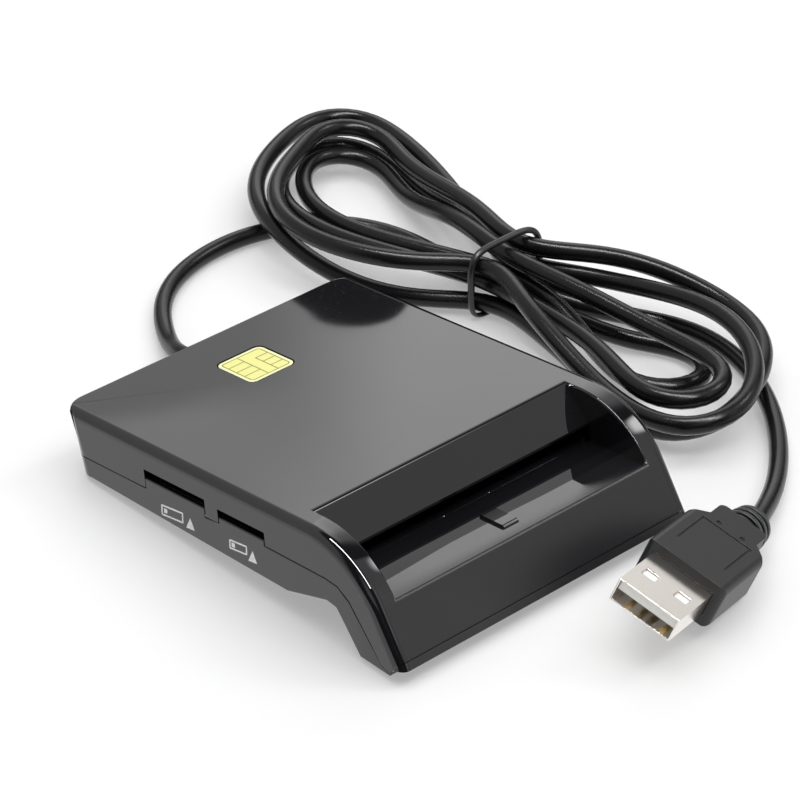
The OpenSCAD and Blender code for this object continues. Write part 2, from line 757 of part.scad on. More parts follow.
// Pieces on the board, each as its size and the place of its middle
chip_at = [8, 14];
chip_size = [10.2, 5.3, 1.6];
lead_count = 14;
lead_pitch = 0.65;
lead_size = [0.3, 1.1, 0.5];
module reader_chip() {
    color([0.1, 0.1, 0.11]) deck_frame() translate([chip_at[0], chip_at[1], board_top]) {
        translate([0, 0, chip_size[2] / 2 + lead_size[0] / 2])
            cube([chip_size[0], chip_size[1], chip_size[2] - lead_size[0]], center = true);
        for (i = [0 : lead_count - 1], s = [-1, 1])
            translate([(i - (lead_count - 1) / 2) * lead_pitch, s * (chip_size[1] + lead_size[1]) / 2,
            lead_size[2] / 2]) cube([lead_size[0], lead_size[1] + lead_size[0], lead_size[2]], center = true);
    }
}
crystal_at = [21, 19];
crystal_size = [11, 4.4];
crystal_h = 3.4;
crystal_base = [11.6, 4.9];
crystal_base_t = 0.4;
module crystal() {
    color([0.8, 0.8, 0.82]) deck_frame() translate([crystal_at[0], crystal_at[1], board_top]) {
        linear_extrude(crystal_h) rounded(crystal_size, crystal_size[1] / 2 - fit);
        linear_extrude(crystal_base_t) rounded(crystal_base, crystal_base[1] / 2 - fit);
    }
}
regulator_at = [20, 30];
regulator_size = [2.9, 1.6, 1.1];
regulator_leg = [0.4, 0.7, 0.4];
module voltage_regulator() {
    color([0.1, 0.1, 0.1]) deck_frame() translate([regulator_at[0], regulator_at[1], board_top]) {
        translate([0, 0, regulator_size[2] / 2]) cube(regulator_size, center = true);
        for (x = [-1, 0, 1]) translate([x * (regulator_size[0] / 2 - regulator_leg[0]),
            (x == 0 ? -1 : 1) * (regulator_size[1] + regulator_leg[1]) / 2, regulator_leg[2] / 2])
            cube(regulator_leg + [0, fit, 0], center = true);
    }
}
cap_size = [1.6, 0.8, 0.8];
cap_at = [[0, 22], [0, 25], [15, 24], [15, 27], [18, 34], [22, 34], [24, 26], [17, 39]];
module board_capacitors() {
    color([0.72, 0.6, 0.42]) deck_frame() for (p = cap_at)
        translate([p[0], p[1], board_top + cap_size[2] / 2]) cube(cap_size, center = true);
}

// Header with four pins, and the wires that run to it from the cord
header_at = [17, 47];
header_size = [10.4, 4.4, 3.6];
header_wall = 0.7;
pin_pitch = 2;
pin_w = 0.5;
pin_count = 4;
module wire_header() {
    color([0.92, 0.9, 0.84]) deck_frame() translate([header_at[0], header_at[1], board_top]) {
        difference() {
            translate([0, 0, header_size[2] / 2]) cube(header_size, center = true);
            translate([0, header_wall, header_size[2] / 2 + header_wall])
                cube(header_size - 2 * [header_wall, 0, 0], center = true);
        }
        for (i = [0 : pin_count - 1])
            translate([(i - (pin_count - 1) / 2) * pin_pitch, 0, 0])
            translate([0, -header_wall, header_size[2] / 2]) cube([pin_w, pin_w, header_size[2] - 2 * pin_w],
            center = true);
    }
}

wire_r = 0.45;
wire_gap = 1.2;
wire_sides = 6;
sheath_in = outlet_wall_y - wall - flange_t;
wire_start = [0, sheath_in, outlet_z];
function on_deck(p) = [p[0], bay_y + p[1] * cos(deck_tilt) + p[2] * sin(deck_tilt),
    bay_z - p[1] * sin(deck_tilt) + p[2] * cos(deck_tilt)];
module inner_wires() {
    color([0.7, 0.15, 0.12]) for (i = [0 : pin_count - 1]) {
        start = wire_start + [(i - (pin_count - 1) / 2) * wire_gap, 0, 0];
        x = header_at[0] + (i - (pin_count - 1) / 2) * pin_pitch;
        end = on_deck([x, header_at[1] - header_wall + pin_w / 2 + fit,
            board_top + header_size[2] / 2 + header_wall]);
        lane_y = start[1] - (pin_count - i) * wire_gap;
        run_z = end[2] + 2 * wire_r;
        tube(eased([start, [start[0], lane_y, start[2]], [x, lane_y, run_z],
            [x, end[1] + 4 * wire_r, run_z], end], wire_r), wire_r, wire_sides);
    }
}

// Grommet: an inner flange, a neck in the rear wall, an outer flange and a ribbed sleeve
cord_end_y = 46;
module cable_grommet() {
    bore = cord_d / 2;
    color([0.07, 0.07, 0.07]) translate([0, 0, outlet_z]) rotate([-90, 0, 0]) rotate_extrude() polygon([
        [0, sheath_in], [flange_r, sheath_in], [flange_r, sheath_in + flange_t - fit],
        [neck_r, sheath_in + flange_t - fit], [neck_r, outlet_wall_y + flange_t], [flange_r, outlet_wall_y + flange_t],
        [flange_r, outlet_wall_y + 2 * flange_t], [bore + flange_t, cord_end_y - flange_t],
        [bore, cord_end_y], [0, cord_end_y]]);
}

module case_screws() {
    color([0.6, 0.6, 0.62]) at_screws() difference() {
        union() {
            translate([0, 0, -head_seat]) cylinder(screw_l, d = screw_d);
            translate([0, 0, -head_seat - head_h]) cylinder(head_h, r = head_r);
        }
        for (a = [0, 90]) rotate([0, 0, a]) translate([0, 0, -head_seat - head_h])
            cube([head_r, head_r / 4, head_h], center = true);
    }
}

// Plug, in its own frame: from the mouth of the metal shell towards the cord
plug_at = [-0.82, -65.93, 9.02];
plug_turn = [19.4, 9.73, 16.45];
module plug_frame() {
    translate(plug_at) rotate(plug_turn) children();
}
shell_in = 5;
window_w = 2.5;
window_l = 2;
window_x = 6;
window_y = 3.2;
module plug_shell() {
    color([0.82, 0.83, 0.85]) plug_frame() difference() {
        block([0, -plug_w / 2, 0], [plug_l + shell_in, plug_w / 2, plug_h]);
        block([-over, plug_sheet - plug_w / 2, plug_sheet],
            [plug_l + shell_in + over, plug_w / 2 - plug_sheet, plug_h - plug_sheet]);
        for (y = [-1, 1]) translate([window_x, y * window_y, plug_h / 2])
            cube([window_l, window_w, 2 * plug_h], center = true);
    }
}
tongue_w = 11.2;
tongue_high = 1.84;
tongue_back = 0.6;
plug_pin_t = 0.15;
plug_pin_w = 1;
plug_pin_y = [-3.5, -1, 1, 3.5];
tongue_gap = 0.05;
module plug_tongue() {
    z1 = plug_h - plug_sheet - tongue_gap;
    color([0.93, 0.93, 0.92]) plug_frame() difference() {
        union() {
            block([tongue_back, -tongue_w / 2, z1 - tongue_high], [plug_l + shell_in, tongue_w / 2, z1]);
            block([plug_l, -tongue_w / 2, plug_sheet + tongue_gap], [plug_l + shell_in, tongue_w / 2, z1]);
        }
        for (y = plug_pin_y) block([tongue_back + plug_pin_w, y - plug_pin_w / 2 - fit,
            z1 - tongue_high - over], [plug_l, y + plug_pin_w / 2 + fit, z1 - tongue_high + plug_pin_t]);
    }
}
module plug_contacts() {
    z1 = plug_h - plug_sheet - tongue_gap;
    color([0.85, 0.7, 0.3]) plug_frame() for (y = plug_pin_y)
        block([tongue_back + plug_pin_w + fit, y - plug_pin_w / 2, z1 - tongue_high],
        [plug_l - fit, y + plug_pin_w / 2, z1 - tongue_high + plug_pin_t - fit]);
}

// Moulded grip: a wide block, a narrower block behind it, and a ribbed sleeve
grip_l = 14.8;
taper_l = 2.2;
nose_l = 4.5;
nose_w = 9.6;
grip_r = 1.3;
sleeve_end = 40;
sleeve_r = 2.7;
rib_r = 3.1;
rib_w = 0.9;
rib_step = 1.9;
groove_w = 0.5;
groove_t = 0.25;
groove_l = 9.5;
grip_hole_r = 0.5;
grip_x1 = plug_l + grip_l;
grip_x2 = grip_x1 + taper_l;
grip_x3 = grip_x2 + nose_l;
module grip_plan() {
    translate([plug_l + grip_l / 2, 0]) rounded([grip_l, grip_w], grip_r);
    polygon([[grip_x1 - grip_r, grip_w / 2], [grip_x1 - grip_r, -grip_w / 2], [grip_x1 - grip_r / 2, -grip_w / 2],
        [grip_x2, -nose_w / 2], [grip_x2, nose_w / 2], [grip_x1 - grip_r / 2, grip_w / 2]]);
    translate([grip_x2 + nose_l / 2 - grip_r, 0]) rounded([nose_l + 2 * grip_r, nose_w], grip_r);
}
module plug_grip() {
    mid = plug_h / 2;
    color([0.1, 0.1, 0.1]) plug_frame() difference() {
        union() {
            intersection() {
                translate([0, 0, mid - grip_h / 2]) linear_extrude(grip_h) grip_plan();
                translate([0, 0, mid]) rotate([90, 0, 90]) linear_extrude(sleeve_end) rounded([grip_w, grip_h], grip_r);
            }
            translate([0, 0, mid]) rotate([0, 90, 0]) translate([0, 0, grip_x3 - over]) cylinder(sleeve_end
                - grip_x3 + over, r1 = sleeve_r, r2 = cord_d / 2 + groove_w);
            for (i = [0 : 2]) translate([grip_x3 + rib_w + i * rib_step, 0, mid]) rotate([0, 90, 0])
                cylinder(rib_w, r = rib_r - i * groove_t, center = true);
        }
        block([plug_l - over, -plug_w / 2 - fit, -fit], [plug_l + shell_in + fit, plug_w / 2 + fit, plug_h + fit]);
        for (s = [-1, 1]) {
            translate([plug_l + grip_l / 2 + groove_l / 4, s * (grip_w / 2 - 2 * grip_r - groove_w), mid + grip_h / 2])
                cube([groove_l, groove_w, 2 * groove_t], center = true);
            translate([grip_x1 + taper_l / 2, s * nose_w / 4, mid + grip_h / 2])
                cylinder(2 * groove_t, r = grip_hole_r, center = true);
        }
        translate([plug_l + grip_l / 2 + 3 * groove_l / 4, 0, mid + grip_h / 2])
            cube([groove_w, grip_w - 4 * grip_r - groove_w, 2 * groove_t], center = true);
    }
}

// Cord: the lead from the body to the tie, the hank, and the tail from the tie to the plug
cord_steps = 2;
cord_sides = 8;
tie_at = [62, 31];
tie_t = 0.8;
tie_w = 1.2;
// Play of the hank in its tie, across and upwards
tie_fit = [1.75, 0.05];
slot_x = 4.3;
slot_z = 4;
first_z = 2.7;
lead_route = [[0, 46, 5.8], [0, 47.5, 5.8], [0, 49, 5.8], [1, 54, 4], [4.5, 61, 1.9], [10.5, 71, 1.8],
    [19, 78, 1.8], [29, 81.5, 1.8], [39, 82, 1.8], [49, 79, 1.8], [57.5, 72.5, 1.8], [62, 63, 1.8],
    [63, 54, 1.8], [62.4, 46.5, 2.2], [62, 41.5, 2.7], [62, 38, 2.7], [62, 34.5, 2.7]];
tail_route = [[66.9, 27.5, 2.7], [67.5, 24, 2.7], [68.1, 20.5, 2.7], [71.2, 14.5, 1.9], [76, 6, 1.8],
    [79, -4, 1.8], [77.5, -15, 1.8], [73.5, -24, 1.8], [67.5, -33, 1.8], [60, -41, 1.8], [51.7, -47.8, 2.1],
    [44.7, -52, 3], [39.2, -54.9, 4], [37.7, -55.34, 4.3]];

// Places of the nine strands at the tie, as column and row: those that leave forward, then back
forward_slots = [[0, 0], [0, 2], [1, 1], [1, 2], [1, 0]];
back_slots = [[0, 1], [-1, 1], [-1, 2], [-1, 0]];
// Each loop: length, half widths right and left, fullness right and left, lean, heights right and left
front_loops = [[45.9, 1, 8.8, 3.1, 2.9, 9, 1.8, 2.5], [57.5, 4, 7.8, 2.3, 5.9, -0.1, 8.7, 8.1],
    [64.2, 16.4, 5, 0.7, 0.6, -7.7, 10.3, 5.9], [59.9, 20.9, 5.5, 0.9, 5.5, -5, 7, 1.8]];
rear_loops = [[60.3, 4, 16.8, 4.6, 1.5, 10.1, 3.3, 5.9], [65.5, 3.6, 18.2, 4.1, 1.4, 11.1, 1.8, 6],
    [62.2, -1.5, 26.9, 4.9, 0.7, 14.7, 7.3, 10.1], [71.6, 5.3, 26.7, 0.8, 0.6, 13.6, 5.7, 6.6]];
hank_steps = 12;
hank_sides = 6;
function smooth(t) = let (c = max(0, min(1, t))) c * c * (3 - 2 * c);
function lobe(p, q, s, ahead, th) = let (h = (1 - cos(th)) / 2,
    side = (th < 180 ? 1 : -1) * (ahead < 0 ? 1 : -1),
    w = side > 0 ? s[1] : s[2], m = side > 0 ? s[3] : s[4],
    peak = 2 * pow((m + 1) / (m + 2), (m + 1) / 2) * sqrt(1 / (m + 2)),
    v = side * w / peak * abs(sin(th)) * pow(sin(th / 2), m),
    b = smooth((th / 360 - 0.3) / 0.4), rest = smooth((h - 0.2) / 0.5),
    slot = [slot_x, slot_z],
    z0 = first_z + slot[1] * (p[1] + (q[1] - p[1]) * b),
    z1 = ahead < 0 ? s[6] + (s[7] - s[6]) * b : s[7] + (s[6] - s[7]) * b)
    [tie_at[0] + slot[0] * (p[0] + (q[0] - p[0]) * b) + v + s[0] * h * tan(s[5]), tie_at[1] + ahead * s[0] * h,
    z0 * (1 - rest) + z1 * rest];
hank = concat([lead_route[len(lead_route) - 1]],
    [for (i = [0 : 3], k = [0 : 2 * hank_steps - 1]) k < hank_steps
        ? lobe(forward_slots[i], back_slots[i], front_loops[i], -1, 360 * k / hank_steps)
        : lobe(back_slots[i], forward_slots[i + 1], rear_loops[i], 1, 360 * (k - hank_steps) / hank_steps)],
    [[tie_at[0] + slot_x, tie_at[1], first_z], tail_route[0]]);

// Least gap between strands of the hank, on points three to a step
fine = [for (i = [0 : len(hank) - 2], j = [1 : 3]) hank[i] + (hank[i + 1] - hank[i]) * j / 3];
apart = 12;
gap = min([for (i = [0 : len(fine) - apart - 1]) min([for (j = [i + apart : len(fine) - 1])
    norm(fine[i] - fine[j])])]) - cord_d;
echo(least_gap_of_the_hank_to_itself = gap);

module cord_lead() {
    color([0.06, 0.06, 0.06]) tube(spline(lead_route, cord_steps), cord_d / 2, cord_sides);
}
module cord_hank() {
    color([0.06, 0.06, 0.06]) tube(hank, cord_d / 2, hank_sides);
}
module cord_tail() {
    color([0.06, 0.06, 0.06]) tube(spline(tail_route, cord_steps), cord_d / 2, cord_sides);
}
module cord_tie() {
    size = 2 * ([slot_x, slot_z] + tie_fit) + [cord_d, cord_d];
    color([0.1, 0.1, 0.1]) translate([tie_at[0], tie_at[1], first_z + slot_z]) rotate([90, 0, 0])
        linear_extrude(tie_w, center = true) difference() {
            rounded(size + 2 * [tie_t, tie_t], cord_d / 2 + tie_t);
            rounded(size, cord_d / 2);
        }
}

upper_shell();
lower_shell();
chip_emblem();
main_board();
contact_block();
card_contacts_rear();
card_contacts_front();
detect_switch();
detect_lever();
sim_socket_base();
sim_socket_cover();
sim_contacts_outer();
sim_contacts_inner();
tf_socket_base();
tf_socket_cover();
tf_contacts();
tf_slider();
tf_spring();
reader_chip();
crystal();
voltage_regulator();
board_capacitors();
wire_header();
inner_wires();
cable_grommet();
case_screws();
rubber_feet();
plug_grip();
plug_shell();
plug_tongue();
plug_contacts();
cord_lead();
cord_hank();
cord_tail();
cord_tie();
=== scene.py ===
"""Looks of the smart card reader: glossy black shells, printed emblem, wound cord and flat plug."""

import math

import bmesh
import bpy
import numpy as np
from mathutils import Matrix, Vector


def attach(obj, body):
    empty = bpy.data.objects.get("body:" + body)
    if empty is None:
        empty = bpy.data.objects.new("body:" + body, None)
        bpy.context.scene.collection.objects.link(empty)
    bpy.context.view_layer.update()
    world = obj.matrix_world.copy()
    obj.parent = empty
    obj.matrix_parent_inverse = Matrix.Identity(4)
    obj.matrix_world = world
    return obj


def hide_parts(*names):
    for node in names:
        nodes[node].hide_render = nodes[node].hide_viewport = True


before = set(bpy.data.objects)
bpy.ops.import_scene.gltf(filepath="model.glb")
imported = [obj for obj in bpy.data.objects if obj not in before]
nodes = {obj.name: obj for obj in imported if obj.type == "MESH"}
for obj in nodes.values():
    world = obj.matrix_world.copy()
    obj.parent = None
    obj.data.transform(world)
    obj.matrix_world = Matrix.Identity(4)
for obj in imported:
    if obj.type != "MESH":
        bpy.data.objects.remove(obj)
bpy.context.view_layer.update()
MM = 0.001

# Measures of the body, in millimetres and as in the CAD source: the tilts are of deck, apron and rear wall
HALF_W, REAR_Y, REAR_H, CORNER_R = 33.5, 44.1, 12.7, 4.5
TILT, SLOPE, REAR_LEAN = (math.radians(a) for a in (6.38, 56.3, 14.7))
BAY_Y, BAY_HALF = -18.33, 28.8
BAY_Z = REAR_H + (REAR_Y - BAY_Y) * math.tan(TILT)
ARCH_Y, ARCH_Z, ARCH_R = -23.564, 1.650, 18.5
CORD_R = 1.75


def deck_point(x, along, up):
    """A point given in the deck's frame, which starts at the bay's rear edge and tilts with the deck."""
    x, along, up = np.broadcast_arrays(*(np.asarray(v, float) for v in (x, along, up)))
    c, s = math.cos(TILT), math.sin(TILT)
    return np.stack([x, BAY_Y + along * c + up * s, BAY_Z - along * s + up * c], -1)


# Shader nodes written as Python expressions


class Value:
    """A socket of a node graph, with arithmetic that adds Math nodes."""

    def __init__(self, graph, socket):
        self.graph, self.socket = graph, socket

    def math(self, operation, *others, clamp=False):
        settings = {"operation": operation, "use_clamp": clamp}
        return self.graph.node("ShaderNodeMath", settings, dict(enumerate((self, *others))))

    def __add__(self, other):
        return self.math("ADD", other)

    def __sub__(self, other):
        return self.math("SUBTRACT", other)

    def __mul__(self, other):
        return self.math("MULTIPLY", other)

    def __truediv__(self, other):
        return self.math("DIVIDE", other)

    def __pow__(self, other):
        return self.math("POWER", other)

    def __rsub__(self, other):
        return self.graph.number(other).math("SUBTRACT", self)

    __radd__ = __add__
    __rmul__ = __mul__

    def most(self, other):
        return self.math("MAXIMUM", other)

    def least(self, other):
        return self.math("MINIMUM", other)

    def size(self):
        return self.math("ABSOLUTE")

    def above(self, edge, soft):
        """0 below edge and 1 above it, rising straight over a width of soft about the edge."""
        return ((self - edge) / soft).math("ADD", 0.5, clamp=True)

    def rise(self, edge, width):
        """0 below edge and 1 above edge + width, with a soft start and end: t * t * (3 - 2 t)."""
        t = ((self - edge) / width).math("ADD", 0.0, clamp=True)
        return t * t * (3 - 2 * t)


class Graph:
    """A node tree. added() makes any node from its type, its settings and the values or links of its
    inputs, and node() does the same and gives one of its outputs."""

    def __init__(self, tree):
        self.tree = tree

    def feed(self, socket, value):
        if isinstance(value, Value):
            self.tree.links.new(value.socket, socket)
        else:
            socket.default_value = value

    def added(self, kind, settings=None, inputs=None):
        made = self.tree.nodes.new(kind)
        for name, value in (settings or {}).items():
            setattr(made, name, value)
        for name, value in (inputs or {}).items():
            self.feed(made.inputs[name], value)
        return made

    def node(self, kind, settings=None, inputs=None, out=0):
        return Value(self, self.added(kind, settings, inputs).outputs[out])

    def number(self, value):
        made = self.node("ShaderNodeValue")
        made.socket.default_value = value
        return made

    def split(self, vector):
        made = self.added("ShaderNodeSeparateXYZ", {}, {0: vector})
        return [Value(self, out) for out in made.outputs]

    def rays(self, *kinds):
        """Whether a ray is of a kind, such as Camera or Glossy, one value for each kind."""
        made = self.added("ShaderNodeLightPath")
        return [Value(self, made.outputs[f"Is {kind} Ray"]) for kind in kinds]

    def mix(self, factor, low, high):
        """The colour low where factor is 0 and high where it is 1."""
        low, high = ((*c, 1) if isinstance(c, tuple) else c for c in (low, high))
        return self.node("ShaderNodeMix", {"data_type": "RGBA"}, {0: factor, 6: low, 7: high}, out=2)


class Finish(Graph):
    """A material with one Principled shader, whose constants are given by name when it is made."""

    def __init__(self, name, **constants):
        self.material = bpy.data.materials.new(name)
        self.material.use_nodes = True
        super().__init__(self.material.node_tree)
        self.shader = self.tree.nodes["Principled BSDF"]
        for socket, value in constants.items():
            self.set(socket.replace("_", " "), value)

    def set(self, socket, value):
        if isinstance(value, tuple) and self.shader.inputs[socket].type == "RGBA":
            value = (*value, 1)
        self.feed(self.shader.inputs[socket], value)

    def place(self):
        """The place on the piece in its object's own frame, in metres."""
        return self.node("ShaderNodeTexCoord", out=3)

    def place_mm(self):
        return [v * (1 / MM) for v in self.split(self.place())]

    def noise(self, scale, detail=2.0, rough=0.5, stretch=None):
        """Noise from 0 to 1 of a scale in cycles per metre, drawn out along the axes by stretch."""
        place = self.place()
        if stretch:
            place = self.node("ShaderNodeMapping", {}, {"Vector": place, "Scale": stretch})
        look = {"Vector": place, "Scale": scale, "Detail": detail, "Roughness": rough}
        return self.node("ShaderNodeTexNoise", {}, look)

    def bump(self, height, strength, distance):
        look = {"Height": height, "Strength": strength, "Distance": distance}
        self.set("Normal", self.node("ShaderNodeBump", {}, look))
        return self.material


# Finishes

# Each mark under a side slot: middle, length, level and height of the card in outline, middle of its pad,
# and middle and foot of the triangle, all along the side wall and in the row's own level
SLOT_MARKS = [(13.4, 6.0, 5.33, 2.25, 15.2, 8.5, 3.67), (-4.25, 4.7, 4.08, 1.95, -2.95, -8.0, 2.2)]
MARKS_FROM, MARKS_RISE, MARKED_WALL = 12.0, 0.19, -33.3
CARD_CORNER, INK_HALF, INK_SOFT, PAD_SIDE_HALF = 0.3, 0.17, 0.06, 0.45
TRIANGLE_HIGH, TRIANGLE_HALF = 2.3, 1.15
APRON_Y, APRON_HALF, APRON_GRAIN = -0.0345, 0.0315, 0.32


def printed_marks(f):
    """White ink under the two small card slots: for each a card in outline with a pad in it, and a solid
    triangle. A line is where the distance to a rounded rectangle is nearly nothing, and the rows rise
    towards the front."""
    across, along, up = f.place_mm()
    level = up + (along - MARKS_FROM) * MARKS_RISE
    ink = f.number(0.0)
    for card, card_w, card_z, card_h, pad, triangle, foot in SLOT_MARKS:
        wide = (along - card).size() - card_w / 2 + CARD_CORNER
        high = (level - card_z).size() - card_h / 2 + CARD_CORNER
        reach = (wide.most(0) ** 2.0 + high.most(0) ** 2.0) ** 0.5 + wide.most(high).least(0) - CARD_CORNER
        line = 1 - (reach + INK_HALF).size().above(INK_HALF, INK_SOFT)
        off_pad = ((along - pad).size() - PAD_SIDE_HALF).most((level - card_z).size() - PAD_SIDE_HALF)
        inset = 1 - off_pad.above(0, INK_SOFT)
        slant = (1 - (level - foot) / TRIANGLE_HIGH) * TRIANGLE_HALF - (along - triangle).size()
        ink = ink.most(line).most(inset).most(slant.least(level - foot).above(0, INK_SOFT))
    return ink * (MARKED_WALL - across).above(0, 0.01)


def gloss_plastic(name, marked):
    """Black moulding, polished on the deck and arches and finely grained on the apron: a faint haze and
    fine dust in the roughness, and a slow waviness of the surface."""
    f = Finish(name, IOR=1.6, Coat_Weight=0.0)
    haze = f.noise(60.0, 3.0)
    speck = f.noise(2600.0, 1.0).above(0.74, 0.04)
    base = f.mix(haze, (0.0055, 0.0055, 0.0068), (0.009, 0.009, 0.011))
    f.set("Base Color", f.mix(printed_marks(f), base, (0.85, 0.85, 0.85)) if marked else base)
    across, along, _ = f.split(f.place())
    apron = (APRON_Y - along).above(0.002, 0.004) * (APRON_HALF - across.size()).above(0, 0.0006)
    f.set("Roughness", haze * 0.02 + 0.012 + speck * 0.08 + apron * APRON_GRAIN)
    return f.bump(f.noise(45.0, 1.0), 0.12, 0.00015)


def satin_plastic(name, dark, light, rough, grain, depth, gloss=0.5):
    """Plastic with a fine spark-eroded grain of a given depth in metres; at a gloss of 0 it is dull."""
    f = Finish(name, Specular_IOR_Level=gloss)
    pits = f.noise(grain, 3.0, 0.6)
    f.set("Base Color", f.mix(pits, dark, light))
    f.set("Roughness", pits * 0.16 + (rough - 0.08))
    return f.bump(pits, 0.5, depth)


def sheath():
    """Soft vinyl of the cord: a satin skin with faint drawing marks and uneven sheen."""
    f = Finish("cord_vinyl", IOR=1.36)
    mark = f.noise(700.0, 3.0, 0.6)
    broad = f.noise(90.0, 2.0)
    f.set("Base Color", f.mix(broad, (0.004, 0.004, 0.0045), (0.008, 0.008, 0.009)))
    f.set("Roughness", broad * 0.1 + mark * 0.06 + 0.2)
    return f.bump(mark, 0.25, 0.00008)


def plated(name, colour, rough, brushed=None):
    """Metal sheet with a fine brushed or rolled grain, brighter where it is worn."""
    f = Finish(name, Metallic=1.0)
    grain = f.noise(900.0, 3.0, 0.6, brushed)
    wear = f.noise(180.0, 3.0)
    worn = tuple(min(1.0, c * 1.1) for c in colour)
    f.set("Base Color", f.mix(wear, colour, worn))
    f.set("Roughness", grain * 0.14 + wear * 0.08 + (rough - 0.1))
    return f.bump(grain, 0.2, 0.00002)


# The emblem on the deck, in the deck's frame: its middle, half sides and corner, the borders of its
# fields as stretches across and ahead, the width and inset of its lines, and where its cream border
# starts
PAD_MID, PAD_HALF, PAD_R = (-1.4, 47.5), (5.1, 5.15), 1.35
PAD_LINES = [
    (-2.1, -2.1, 43.3, 51.8), (0.15, 0.15, 43.3, 49.4),
    (-5.6, -2.1, 49.85, 49.85), (-5.6, -2.1, 47.6, 47.6), (-5.6, -2.1, 45.4, 45.4),
    (0.15, 3.0, 49.4, 49.4), (0.15, 3.0, 47.35, 47.35), (0.15, 3.0, 45.2, 45.2),
]
PAD_LINE_HALF, PAD_LINE_SOFT, PAD_LINE_IN, PAD_BORDER = 0.12, 0.05, 0.74, 0.62


def printed_pad():
    """Printed plate with a card's contact fields, drawn in the deck's frame: the distance to its rounded
    outline gives the cream border and the line inside it, and each field line is the set of points near a
    straight stretch. The ink has a fine speckle."""
    f = Finish("printed_contact_pad", Roughness=0.28)
    across, along, up = f.place_mm()
    ahead = (along - BAY_Y) * math.cos(TILT) - (up - BAY_Z) * math.sin(TILT)
    wide = (across - PAD_MID[0]).size() - (PAD_HALF[0] - PAD_R)
    long = (ahead - PAD_MID[1]).size() - (PAD_HALF[1] - PAD_R)
    out = (wide.most(0) ** 2.0 + long.most(0) ** 2.0) ** 0.5 + wide.most(long).least(0) - PAD_R
    line = 1 - (out + PAD_LINE_IN).size().above(PAD_LINE_HALF, PAD_LINE_SOFT)
    for x0, x1, a0, a1 in PAD_LINES:
        off_x = (across - (x0 + x1) / 2).size() - (x1 - x0) / 2
        off_a = (ahead - (a0 + a1) / 2).size() - (a1 - a0) / 2
        line = line.most(1 - off_x.most(off_a).above(PAD_LINE_HALF, PAD_LINE_SOFT))
    field = f.mix(f.noise(3000.0, 2.0), (0.78, 0.76, 0.22), (0.85, 0.83, 0.28))
    field = f.mix(line, field, (0.24, 0.23, 0.05))
    f.set("Base Color", f.mix((out + PAD_BORDER).above(0, 0.06), field, (0.85, 0.86, 0.44)))
    return f.bump(1 - line, 0.3, 0.00004)


def board_mask():
    """Green solder mask over copper tracks: tracks show as a lighter green, a little raised."""
    f = Finish("solder_mask", Roughness=0.35)
    cells = f.node("ShaderNodeTexVoronoi", {"distance": "MANHATTAN"}, {"Vector": f.place(), "Scale": 420.0})
    track = cells.above(0.32, 0.03)
    f.set("Base Color", f.mix(track, (0.012, 0.13, 0.05), (0.03, 0.24, 0.09)))
    return f.bump(track, 0.3, 0.00003)


FINISHES = {
    "shell": gloss_plastic("polished_black_shell", False),
    "marked_shell": gloss_plastic("polished_shell_with_marks", True),
    "sheath": sheath(),
    "plug_steel": plated("plug_shell_plating", (0.80, 0.76, 0.71), 0.2, (1, 14, 1)),
    "steel": plated("socket_steel", (0.66, 0.66, 0.67), 0.32, (12, 1, 1)),
    "can": plated("crystal_can", (0.74, 0.74, 0.75), 0.25),
    "screw": plated("screw_steel", (0.55, 0.55, 0.56), 0.36),
    "gold": plated("contact_plating", (0.86, 0.64, 0.27), 0.26),
    "board": board_mask(),
    "emblem": printed_pad(),
}
# Each satin finish: name, darkest and lightest colour, roughness, grains per metre, their depth, and gloss
for key, *look in (
    ("moulding", "socket_moulding", (0.018, 0.018, 0.018), (0.03, 0.03, 0.03), 0.5, 1500.0, 0.00002),
    ("grip", "grip_moulding", (0.009, 0.009, 0.0098), (0.017, 0.017, 0.0185), 0.42, 1900.0, 0.00003),
    ("tie", "tie_wire_skin", (0.009, 0.009, 0.0095), (0.016, 0.016, 0.017), 0.36, 1600.0, 0.00002),
    ("rubber", "foot_rubber", (0.02, 0.02, 0.02), (0.034, 0.034, 0.034), 0.75, 1300.0, 0.00005),
    ("chip", "chip_moulding", (0.02, 0.02, 0.022), (0.034, 0.034, 0.036), 0.6, 2400.0, 0.00002),
    ("ceramic", "capacitor_body", (0.36, 0.25, 0.14), (0.5, 0.36, 0.22), 0.4, 2000.0, 0.00001),
    ("nylon", "header_nylon", (0.74, 0.71, 0.62), (0.84, 0.82, 0.75), 0.45, 1200.0, 0.00002),
    ("tongue", "tongue_moulding", (0.90, 0.89, 0.86), (0.95, 0.94, 0.91), 0.35, 1200.0, 0.00001),
    ("wire", "wire_skin", (0.42, 0.03, 0.02), (0.55, 0.06, 0.04), 0.4, 900.0, 0.00003),
    # recess_shadow is painted shade: a near-black sheet without gloss for the shaded walls of the emblem's
    # recess
    ("recess", "recess_shadow", (0.002, 0.002, 0.001), (0.006, 0.005, 0.002), 0.95, 900.0, 0.00001, 0.0),
):
    FINISHES[key] = satin_plastic(*look)

# The CAD nodes that keep their shape, by the finish that each gets
KEPT_NODES = {
    "board": ["main_board"],
    "moulding": ["contact_block", "detect_switch", "sim_socket_base", "tf_socket_base", "tf_slider"],
    "steel": ["detect_lever", "sim_socket_cover", "tf_socket_cover", "tf_spring"],
    "gold": ["card_contacts_rear", "card_contacts_front", "sim_contacts_outer", "sim_contacts_inner",
        "tf_contacts", "plug_contacts"],
    "chip": ["reader_chip", "voltage_regulator"],
    "can": ["crystal"],
    "ceramic": ["board_capacitors"],
    "nylon": ["wire_header"],
    "wire": ["inner_wires"],
    "screw": ["case_screws"],
    "rubber": ["rubber_feet"],
    "tongue": ["plug_tongue"],
}


def coat(piece, finish):
    """Gives a piece one finish, in place of whatever it carries."""
    piece.data.materials.clear()
    piece.data.materials.append(finish)


for finish, names in KEPT_NODES.items():
    for name in names:
        coat(nodes[name], FINISHES[finish])


# Meshes


